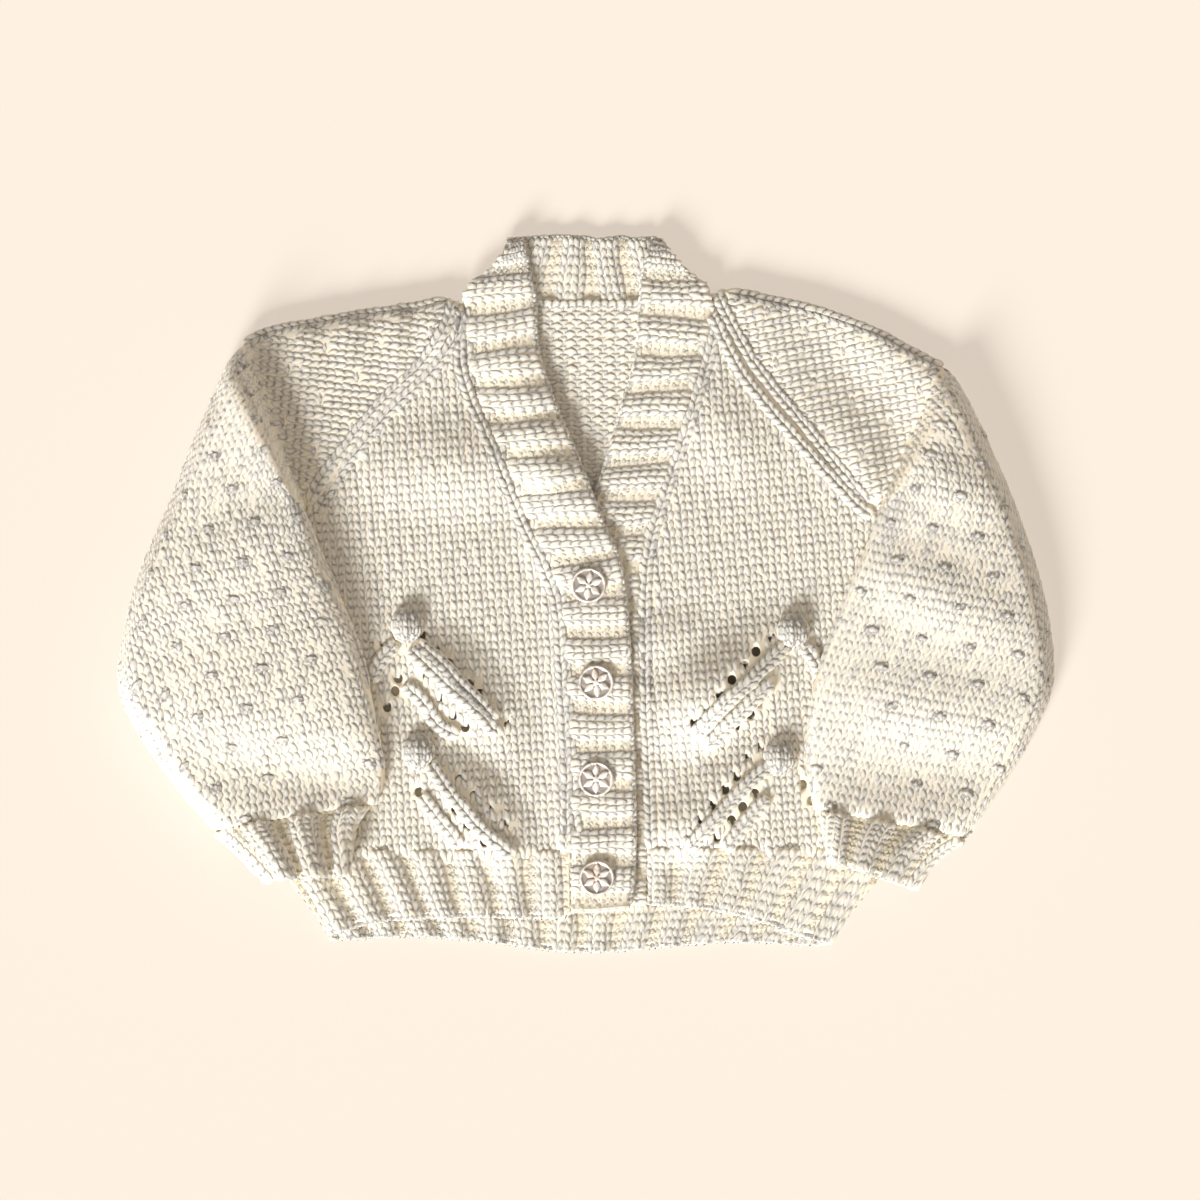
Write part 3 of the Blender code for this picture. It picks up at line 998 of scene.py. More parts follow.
RIGHT_FOLDS = [
    (-108.0, -60.0, 36.0, 9.0, -8.0, -1.8),
    (-112.0, -36.0, 34.0, 14.0, -5.0, 1.0),
    (-131.6, 6.0, 24.0, 12.0, 30.0, 1.6),
    (-110.0, 22.0, 18.0, 8.0, 30.0, 1.2),
    (-98.0, 86.0, 9.0, 3.4, 72.0, 1.3),
    (-82.0, 88.0, 9.0, 3.2, 76.0, 1.4),
    (-66.0, 89.0, 9.0, 3.0, 80.0, 1.5),
    (-54.0, 90.0, 8.0, 3.0, 84.0, 1.3),
]
LEFT_FOLDS = [
    (120.4, 1.0, 26.0, 9.0, -25.0, 2.2),
    (117.0, -38.0, 26.0, 9.0, -8.0, 1.8),
    (128.0, 38.0, 14.0, 7.0, -30.0, 1.4),
    (117.0, -60.0, 30.0, 9.0, -4.0, -1.6),
    (92.0, 74.0, 26.0, 12.0, -53.5, -4.4),
]
SWELL_REACH = 1.9


def swell(x: np.ndarray, y: np.ndarray, table: Sequence[Sequence[float]]) -> np.ndarray:
    """Sum of soft rises, each an S that falls from its middle to nothing.

    Args:
        x: Plan positions, mm.
        y: Plan positions, mm.
        table: Swell rows.

    Returns:
        Heights, mm.
    """
    total = np.zeros(np.broadcast(x, y).shape)
    for mid_x, mid_y, long, wide, turn, height in table:
        angle = math.radians(turn)
        along = (x - mid_x) * math.cos(angle) + (y - mid_y) * math.sin(angle)
        across = (y - mid_y) * math.cos(angle) - (x - mid_x) * math.sin(angle)
        reach = np.sqrt((along / long) ** 2 + (across / wide) ** 2) / SWELL_REACH
        total = total + height * smoothstep(1.0 - reach)
    return total


def band_lift(x: np.ndarray, y: np.ndarray) -> np.ndarray:
    """Rise of the right band, and the front beside it, over the left band where they cross.

    Args:
        x: Plan positions, mm.
        y: Plan positions, mm.

    Returns:
        Heights, mm.
    """
    seam = -4.0 - 9.0 * smoothstep((y + 2.0) / 18.0)
    return LEVEL * smoothstep((50.0 - y) / 14.0) * smoothstep((x - seam + 14.0) / 17.0)


def back_height(x: np.ndarray, y: np.ndarray) -> np.ndarray:
    """Height of the back's middle over the plan.

    Args:
        x: Plan positions, mm.
        y: Plan positions, mm.

    Returns:
        Heights, mm.
    """
    return np.full(np.broadcast(x, y).shape, REST)


def left_height(x: np.ndarray, y: np.ndarray) -> np.ndarray:
    """Height of the left front's and button band's middle over the plan.

    Args:
        x: Plan positions, mm.
        y: Plan positions, mm.

    Returns:
        Heights, mm.
    """
    return LEVEL + REST + swell(x, y, SWELLS)


def right_height(x: np.ndarray, y: np.ndarray) -> np.ndarray:
    """Height of the right front's and buttonhole band's middle over the plan.

    Args:
        x: Plan positions, mm.
        y: Plan positions, mm.

    Returns:
        Heights, mm.
    """
    return LEVEL + REST + swell(x, y, SWELLS) + band_lift(x, y)


# ---------------------------------------------------------------- sleeves


@dataclass
class Tube:
    """A flattened tube of cloth through rings.

    A ring is a row of in x, in y, out x, out y, base, hold, crown and anchor. It crosses the tube
    from its inner end to its outer one. Base is the height of what the inner end lies on, hold is
    how far from that end it reaches, crown is the height of both layers over it, and anchor is how
    far from the inner end column 0 lies.

    Attributes:
        rings: The rows, close together.
        folds: Swells of the upper layer.
        turns: Places round a ring: 0 at its outer end, 1 at its inner end over the top, and -1 at
            the inner end underneath.
    """

    rings: np.ndarray
    folds: Sequence[Sequence[float]] = ()
    turns: np.ndarray = field(default_factory=lambda: np.linspace(-1.0, 1.0, 129))

    def sections(self) -> np.ndarray:
        """Points of the cloth's middle round every ring.

        Across the ring, a = (1 - cos turn) / 2, and near each end the layers part as the sine of
        the turn from it. Both layers together are least + (crown - least) sin(pi a)^FULLNESS high.

        Returns:
            (rings, turns, 3) points, mm.
        """
        in_x, in_y, out_x, out_y, base, hold, crown = (self.rings[:, k : k + 1] for k in range(7))
        turn = math.pi * (1.0 - self.turns)[None, :]
        across = 0.5 - 0.5 * np.cos(turn)
        from_end = math.pi / 2 - np.abs(math.pi * np.abs(self.turns[None, :]) - math.pi / 2)
        outer = np.abs(self.turns) < 0.5
        rounding = np.radians(np.where(outer, OUTER_ROUNDING, INNER_ROUNDING))[None, :]
        side = np.sign(self.turns)[None, :] * np.sin(np.minimum(from_end / rounding, 1.0) * math.pi / 2)
        width = np.hypot(out_x - in_x, out_y - in_y)
        inset = CLOTH / 2 / width
        along = inset + across * (1.0 - 2.0 * inset)
        rest = base * (1.0 - smoothstep((across * width - hold - SETTLE[0]) / SETTLE[1]))
        least = np.minimum(crown, 2 * CLOTH)
        full = least + (crown - least) * np.sin(math.pi * across) ** FULLNESS
        bridge = base * smoothstep((1.0 - across) * width / BRIDGE)
        rest = rest + (bridge - rest) * (1.0 + side) / 2
        z = rest + REST - CLOTH / 2 + full / 2 + (full / 2 - CLOTH / 2) * side
        x, y = in_x + (out_x - in_x) * along, in_y + (out_y - in_y) * along
        return np.stack([x, y, z + swell(x, y, self.folds) * smoothstep(side)], axis=-1)

    def height(self, over: bool) -> Height:
        """Height of one layer's middle over the plan.

        Every ring is a straight line in plan, so a point lies between the two rings that it has on
        either side, at the share at which the signed distance to them passes 0.

        Args:
            over: The upper layer, or else the lower one.

        Returns:
            The function of plan x and y.
        """
        half = len(self.turns) // 2
        points = self.sections()[:, half:][:, ::-1] if over else self.sections()[:, : half + 1]
        start, end = self.rings[:, 0:2], self.rings[:, 2:4]
        run = end - start
        size = np.linalg.norm(run, axis=1)
        reach = np.linalg.norm(points[..., :2] - start[:, None], axis=-1) / size[:, None]

        def at(x: np.ndarray, y: np.ndarray) -> np.ndarray:
            """Height of the layer's middle at plan points.

            Args:
                x: Plan positions, mm.
                y: Plan positions, mm.

            Returns:
                Heights, mm.
            """
            px, py = np.ravel(x), np.ravel(y)
            off = (run[:, 0] * (py[:, None] - start[:, 1]) - run[:, 1] * (px[:, None] - start[:, 0])) / size
            passes = (off[:, :-1] > 0) != (off[:, 1:] > 0)
            nearest = np.abs(off).argmin(axis=1).clip(0, len(size) - 2)
            first = np.where(passes.any(axis=1), passes.argmax(axis=1), nearest)
            n = np.arange(len(px))
            near, far = off[n, first], off[n, first + 1]
            share = np.clip(near / np.where(near == far, 1.0, near - far), 0.0, 1.0)
            found = []
            for ring in (first, first + 1):
                reached = (px - start[ring, 0]) * run[ring, 0] + (py - start[ring, 1]) * run[ring, 1]
                place = reached / size[ring] ** 2
                index = np.clip((reach[ring] < place[:, None]).sum(axis=1), 1, reach.shape[1] - 1)
                low, high = reach[ring, index - 1], reach[ring, index]
                part = np.clip((place - low) / np.maximum(high - low, 1e-6), 0.0, 1.0)
                found.append(points[ring, index - 1, 2] * (1 - part) + points[ring, index, 2] * part)
            return (found[0] * (1 - share) + found[1] * share).reshape(np.shape(x))

        return at

    def wales(
        self,
        first: float,
        last: float,
        rows: float,
        row_height: float,
    ) -> tuple[Fabric, np.ndarray, np.ndarray]:
        """Columns of stitches along the tube, a stitch apart, with rows counted up from the last ring.

        Args:
            first: Column furthest towards and round the outer end, below 0.
            last: Column furthest towards the inner end.
            rows: Rows to reach.
            row_height: Height of a row, mm.

        Returns:
            The fabric, the columns of its table, and a (columns, rows) table of each place's
            distance round the ring from the seam, in stitches, below 0 where there is no cloth.
        """
        points = self.sections()
        arc = distance_along(points)
        whole = arc[:, -1]
        columns = table_steps(first, last, 0.5)
        place = whole[:, None] - self.rings[:, 7:8] + columns[None, :] * STITCH
        crossings = [sampled(spot, run, section) for spot, run, section in zip(place, arc, points)]
        lines = np.stack(crossings, axis=1)[:, ::-1]
        left = np.minimum(place, whole[:, None] - place).T[:, ::-1] / STITCH
        climbed = distance_along(lines) / row_height
        counts = table_steps(0.0, rows, 0.5)
        table, margin = [], []
        for line, height, room in zip(lines, climbed, left):
            steady = height + np.arange(len(height)) * 1e-6
            table.append(sampled(counts, steady, line))
            margin.append(np.where(counts <= height[-1], np.interp(counts, steady, room), -1.0))
        return Fabric(np.stack(table), first, 0.0, 0.5), columns, np.stack(margin)

    def ribs(self, rows: int, depth: float, phase: float) -> Fabric:
        """Ribbed cloth round the tube, with rows counted up from the last ring.

        Args:
            rows: Rows of stitches along the tube.
            depth: Height of a rib over the middle, mm.
            phase: Stitches by which the repeat at the outer end is already over.

        Returns:
            The fabric, whose column 0 is at the seam underneath.
        """
        points = self.sections()[::-1]
        arc = distance_along(points)
        repeats = max(2, round(arc[:, -1].mean() / RIB_REPEAT))
        columns = table_steps(0.0, repeats * 4.0, 0.25)
        place, wave = rib_shape(columns + phase)
        share = (place - place[0]) / repeats
        rings = [sampled(share * run[-1], run, ring) for run, ring in zip(arc, points)]
        lines = np.stack(rings, axis=1)
        at = table_steps(0.0, rows, 0.25) / rows * (len(points) - 1)
        low = np.minimum(at.astype(int), len(points) - 2)
        part = np.clip(at - low, 0.0, 1.0)[None, :, None]
        table = lines[:, low] * (1 - part) + lines[:, low + 1] * part
        normal = unit(np.cross(np.gradient(table, axis=0), np.gradient(table, axis=1)))
        return Fabric(table + normal * (depth * wave)[:, None, None], 0.0, 0.0, 0.25)


# ---------------------------------------------------------------- assemblies


@dataclass
class Piece:
    """What every sub-assembly of cloth is made from.

    Attributes:
        node: The CAD node that it stands for.
        flat: Width and length of the cut before it was laid, m. Not used.
        area: Area of the cut, square metres, where it isn't a rectangle. Not used.
        rests_on: What it lies on.
    """

    node: str
    flat: tuple[float, float]
    area: float | None
    rests_on: tuple[str, ...]

    def shell(self, points: np.ndarray, looks: Looks, closed: bool = False) -> bpy.types.Object:
        """Makes the backing that shows between the stitches: an open surface given a thickness.

        Args:
            points: (rows, columns, 3) points of its middle, mm.
            looks: The finishes.
            closed: Whether its last column joins its first.

        Returns:
            The object.
        """
        shell = placed(self.node + "_cloth", grid_mesh(self.node + "_cloth", points, closed), looks.backing)
        wall = shell.modifiers.new("thickness", "SOLIDIFY")
        wall.thickness = SHELL * MM
        wall.offset = 0.0
        return shell

    def declare(self, shell: bpy.types.Object, pieces: Sequence[bpy.types.Object]) -> None:
        """Hides the CAD node that it stands for, hangs the shell and the stitches on the root body, and logs
        their faces.

        Args:
            shell: The backing.
            pieces: The stitches on it.
        """
        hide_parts(self.node)
        for part in (shell, *pieces):
            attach(part, "root")
        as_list(self.rests_on)
        faces = sum(len(part.data.polygons) for part in pieces)
        log.info("%s: shell of %d faces, stitches of %d", self.node, len(shell.data.polygons), faces)


@dataclass
class BodyPanel(Piece):
    """A stockinette panel of the body, lying flat.

    Attributes:
        lines: Rows of left x, left y, right x, right y and bow, from the hem up, mm.
        height: Height of its middle over the plan.
        foot: Plan point of stitch 0, row 0, mm.
        lean: Turn of its columns to the left of +Y, degrees.
    """

    lines: Sequence[Sequence[float]]
    height: Height
    foot: tuple[float, float]
    lean: float

    def surface(self, columns: int = 40, steps: int = 5) -> np.ndarray:
        """Points of its middle, from edge to edge.

        Args:
            columns: Points across.
            steps: Points from one line to the next.

        Returns:
            (rows, columns, 3) points, mm.
        """
        rows = refined(self.lines, steps)
        share = np.linspace(0.0, 1.0, columns)[None]
        x = rows[:, 0:1] + (rows[:, 2:3] - rows[:, 0:1]) * share
        y = rows[:, 1:2] + (rows[:, 3:4] - rows[:, 1:2]) * share + rows[:, 4:5] * 4 * share * (1 - share)
        return np.stack([x, y, self.height(x, y)], axis=-1)

    def outline(self) -> np.ndarray:
        """Its plan outline.

        Returns:
            (n, 2) corners, mm.
        """
        edge = self.surface(9, 4)[..., :2]
        return np.concatenate([edge[0], edge[1:, -1], edge[-1, -2::-1], edge[-2:0:-1, 0]])

    def lattice(self) -> tuple[Fabric, np.ndarray, np.ndarray, np.ndarray]:
        """All the stitches that could lie on it.

        Returns:
            The fabric, the columns and rows of every stitch, and their plan points.
        """
        outline = self.outline()
        low, high = outline.min(axis=0), outline.max(axis=0)
        wide = (high[0] - low[0]) / STITCH + 8
        rows = int((high[1] - low[1]) / ROW) + 10
        fabric = plan_fabric(self.foot, self.lean, (-wide, wide, -5.0, rows), self.height)
        c, r = stitch_grid((-int(wide), int(wide)), (-4, rows))
        return fabric, c, r, fabric.at(c, r)[:, :2]


@dataclass
class Motif:
    """Twisted cords and eyelets of one front's motif.

    Attributes:
        cords: Plan paths of the cords, mm.
        eyelets: Plan points of the holes, mm.
    """

    cords: Sequence[np.ndarray]
    eyelets: np.ndarray

    def clear(self, points: np.ndarray) -> np.ndarray:
        """Which plan points neither a cord nor a hole takes.

        Args:
            points: (n, 2) plan points.

        Returns:
            (n,) booleans.
        """
        free = np.ones(len(points), bool)
        for path in self.cords:
            free &= distance_to_line(points, path) > MARGINS.cord
        holes = np.linalg.norm(points[:, None] - self.eyelets[None], axis=-1).min(axis=1)
        return free & (holes > MARGINS.eyelet)


def smooth_path(points: Sequence[Sequence[float]]) -> np.ndarray:
    """A plan path through points, bent softly.

    Args:
        points: Rows of x and y, mm.

    Returns:
        (n, 2) points.
    """
    return refined(points, 6)


def edging(yarn: Yarn, fabric: Fabric, first: float, last: float, row: float) -> None:
    """Adds the chain of a cast-on or cast-off edge along a row.

    Args:
        yarn: The yarn to add to.
        fabric: The cloth.
        first: Column where the chain starts.
        last: Column where it ends.
        row: The row it lies along.
    """
    at = np.arange(first, last, LINK_STEP)
    along = np.full(len(at), row)
    turned = EDGE_LINK * [1, -1, 1, 1]
    yarn.lengths(fabric, at, along, EDGE_LINK, Side.FACE, FINE, LINK_YARN, -0.3)
    yarn.lengths(fabric, at + LINK_STEP / 2, along, turned, Side.UNDER, COARSE, LINK_YARN, -0.3)


def ribbing(
    yarn: Yarn,
    fabric: Fabric,
    columns: int,
    rows: int,
    phase: int,
    side: Side,
    fineness: Fineness,
    keep: Callable | None = None,
) -> None:
    """Adds the stitches of knit 2, purl 2 rib. What is knit on the face is purl underneath.

    Args:
        yarn: The yarn to add to.
        fabric: The ribbed cloth.
        columns: Stitches across.
        rows: Rows up.
        phase: Stitches by which the first repeat is already over.
        side: Which face.
        fineness: How finely they are modelled.
        keep: Which stitches are made, from their points, or all.
    """
    c, r = stitch_grid((0, columns), (0, rows))
    if keep is not None:
        wanted = keep(fabric.at(c, r))
        c, r = c[wanted], r[wanted]
    knit = ((c + phase) % 4.0 < 2.0) == (side is Side.FACE)
    yarn.stitch(fabric, c[knit], r[knit], Kind.KNIT, side, fineness, YARN * 1.02)
    # The purl stitches lie in the furrows, so their colour is leaned to the deeper one as painted shade.
    yarn.painted_shade = FURROW_SHADE
    yarn.stitch(fabric, c[~knit], r[~knit], Kind.PURL, side, fineness, YARN * 0.85, -0.1)
    yarn.painted_shade = 0.0


@dataclass
class Back(BodyPanel):
    """The back: purl side up inside the neck, knit side down.

    Attributes:
        opening: Plan y over which its inside may show, mm.
        opening_half: Half-width within which it may show, mm.
        neck: Plan x of both ends of its neck edge, mm.
        neck_y: Plan y of the stitches picked up along that edge, mm.
    """

    opening: float = 30.0
    opening_half: float = 48.0
    neck: tuple[float, float] = (-36.0, 37.0)
    neck_y: float = 100.4

    def build(self, looks: Looks) -> None:
        """Makes the shell, the purl bumps seen inside the V and the knit face underneath.

        Args:
            looks: The finishes.
        """
        fabric, c, r, plan = self.lattice()
        outline = self.outline()
        within = well_inside(plan, outline, 0.8)
        seen = within & (plan[:, 1] > self.opening) & (np.abs(plan[:, 0]) < self.opening_half)
        inner = Yarn()
        inner.stitch(fabric, c[seen], r[seen], Kind.PURL, Side.FACE, FINE, YARN * 0.98)
        ridge = np.linspace(*self.neck, 40)
        path = np.stack([ridge, np.full(len(ridge), self.neck_y)], axis=-1)
        pick_up = strip_fabric(path, 3.0, self.height, 0.5)
        links = np.arange(0.0, (self.neck[1] - self.neck[0]) / ROW, 0.95)
        turned = PURL_HEAD[:, [1, 0, 2, 3]] * [-1, 1.3, 1, 1.1]
        inner.lengths(pick_up, 0 * links, links, turned, lift=0.3)
        under = Yarn()
        under.stitch(fabric, c[within], r[within], Kind.KNIT, Side.UNDER, COARSE)
        parts = [inner.build("back_inside", looks.wool), under.build("back_outside", looks.wool)]
        self.declare(self.shell(self.surface(), looks), parts)


@dataclass(frozen=True)
class Margins:
    """How far a front's stitches keep from what borders them, mm. Below 0 they pass it.

    Attributes:
        edge: The panel's edge.
        raglan: The panel's edge where the raglan seam hides it.
        raglan_span: Lowest and highest plan y at which it does.
        sleeve: The outline of the sleeve that lies over the front.
        cap: The outline of the sleeve's cap.
        seam: The column along the raglan seam.
        band: The column beside the band.
        valley: The column in the valley beside the seam.
        cord: A cord's middle.
        eyelet: An eyelet's middle.
    """

    edge: float = -1.6
    raglan: float = -7.0
    raglan_span: tuple[float, float] = (24.0, 97.0)
    sleeve: float = 7.0
    cap: float = 0.3
    seam: float = 1.8
    band: float = 1.3
    valley: float = 2.6
    cord: float = 2.2
    eyelet: float = 2.3


MARGINS = Margins()


@dataclass
class Front(BodyPanel):
    """A front in stockinette, with its lace and cable motif.

    Attributes:
        motif: Its cords and eyelets.
        covered: Plan outline of the sleeve that hides part of it, mm.
        cap: Plan outline of the sleeve's cap, mm.
        seam: Plan path of the raglan seam, mm.
        ridge: Height of the stitches that stand up along the seam, mm.
        valley: Plan path of the column in the valley between front and cap, mm.
    """

    motif: Motif | None = None
    covered: np.ndarray | None = None
    cap: np.ndarray | None = None
    seam: np.ndarray | None = None
    ridge: float = 0.0
    valley: np.ndarray | None = None

    def build(self, looks: Looks) -> None:
        """Makes the shell with its eyelets, the stitches that show, the cords and the seam's ridge.

        Args:
            looks: The finishes.
        """
        fabric, c, r, plan = self.lattice()
        outline = self.outline()
        across, up = np.abs(plan[:, 0]), plan[:, 1]
        low, high = MARGINS.raglan_span
        beside = np.interp(up, self.seam[:, 1], np.abs(self.seam[:, 0])) < across
        beside &= well_inside(plan, outline, MARGINS.raglan) & (up > low) & (up < high)
        seen = well_inside(plan, outline, MARGINS.edge) | beside
        seen &= ~well_inside(plan, self.covered, MARGINS.sleeve)
        seen &= ~well_inside(plan, self.cap, MARGINS.cap)
        seen &= self.motif.clear(plan)
        seen &= distance_to_line(plan, self.seam) > MARGINS.seam
        seen &= distance_to_line(plan, self.band_edge()) > MARGINS.band
        if self.valley is not None:
            seen &= distance_to_line(plan, self.valley) > MARGINS.valley
        yarn = Yarn()
        yarn.stitch(fabric, c[seen], r[seen], Kind.KNIT)
        # path, width, lift, first row, last row, rows per stitch, share of the yarn's radius
        columns = [
            (self.band_edge(), 4.5, 0.45, 0.5, -1.0, 1.0, 1.04),
            (self.seam, 4.4, self.ridge, 0.5, -1.5, 1.0, 1.04),
        ]
        if self.valley is not None:
            columns.append((self.valley, 5.4, -0.2, 0.5, -1.5, 1.0, 1.12))
        columns += [(path, 4.9, 1.7, 0.2, -1.2, 0.92, 1.25) for path in self.motif.cords]
        for path, width, lift, first, last, step, share in columns:
            column = strip_fabric(path, width, self.height, lift)
            rows = np.arange(first, column.table.shape[1] * 0.5 + last, step)
            yarn.stitch(column, 0 * rows, rows, Kind.KNIT, radius=YARN * share)
        shell = self.shell(self.surface(60, 8), looks)
        self.pierce(shell)
        self.declare(shell, [yarn.build(self.node + "_stitches", looks.wool)])

    def band_edge(self, inset: float = 1.5) -> np.ndarray:
        """Plan path of the column of stitches beside the band.

        Args:
            inset: How far inside the edge it runs, mm.

        Returns:
            (n, 2) points, mm.
        """
        rows = refined(self.lines, 6)
        if rows[0, 0] < 0:
            return rows[:, 2:4] - [inset, 0.0]
        return rows[:, 0:2] + [inset, 0.0]

    def pierce(self, shell: bpy.types.Object) -> None:
        """Cuts the eyelets through the shell.

        Args:
            shell: The backing.
        """
        points, faces = [], []
        turn = np.linspace(0.0, 2 * math.pi, 10, endpoint=False)
        for x, y in self.motif.eyelets:
            base = len(points)
            z = float(self.height(np.array([x]), np.array([y]))[0])
            for level in (z - 2.0, z + 2.0):
                points += [(x + 1.6 * math.cos(a), y + 1.8 * math.sin(a), level) for a in turn]
            for k in range(10):
                after = (k + 1) % 10
                faces.append((base + k, base + after, base + 10 + after, base + 10 + k))
            faces += [tuple(base + k for k in range(9, -1, -1)), tuple(base + 10 + k for k in range(10))]
        mesh = bpy.data.meshes.new(self.node + "_punch")
        mesh.from_pydata((np.array(points) * MM).tolist(), [], faces)
        punch = bpy.data.objects.new(self.node + "_punch", mesh)
        bpy.context.scene.collection.objects.link(punch)
        cut = shell.modifiers.new("eyelets", "BOOLEAN")
        cut.object = punch
        cut.operation = "DIFFERENCE"
        graph = bpy.context.evaluated_depsgraph_get()
        done = bpy.data.meshes.new_from_object(shell.evaluated_get(graph))
        shell.modifiers.clear()
        shell.data = done
        bpy.data.objects.remove(punch, do_unlink=True)


@dataclass
class Ribbed(Piece):
    """A flat ribbed piece: a welt, a front band or the neck band.

    Attributes:
        foot: Plan points where its ribs start, mm.
        head: Plan points where they end, mm.
        rows: Rows of stitches between the two.
        height: Height of its middle over the plan.
        phase: Stitches by which its first repeat is already over.
        edge_row: Row along which its cast-on or cast-off chain lies.
        depth: Height of a rib over the middle, mm.
        keep: Which of its upper stitches are made, from their points, or all.
        under: Whether its underside is made too.
    """

    foot: np.ndarray
    head: np.ndarray
    rows: int
    height: Height
    phase: int = 0
    edge_row: float | None = None
    depth: float = 0.45
    keep: Callable | None = None
    under: bool = False

    def build(self, looks: Looks) -> None:
        """Makes the shell, its ribs' stitches and its edge.

        Args:
            looks: The finishes.
        """
        fabric = rib_fabric(self.foot, self.head, self.rows, self.height, self.depth, self.phase)
        columns = int((fabric.table.shape[0] - 1) * 0.25)
        yarn = Yarn()
        ribbing(yarn, fabric, columns, self.rows, self.phase, Side.FACE, FINE, self.keep)
        if self.edge_row is not None:
            edging(yarn, fabric, 0.3, columns - 0.3, self.edge_row)
        parts = [yarn.build(self.node + "_stitches", looks.wool)]
        if self.under:
            lower = Yarn()
            ribbing(lower, fabric, columns, self.rows, self.phase, Side.UNDER, COARSE)
            parts.append(lower.build(self.node + "_outside", looks.wool))
        points = fabric.table[:, ::4].transpose(1, 0, 2)
        self.declare(self.shell(points, looks), parts)


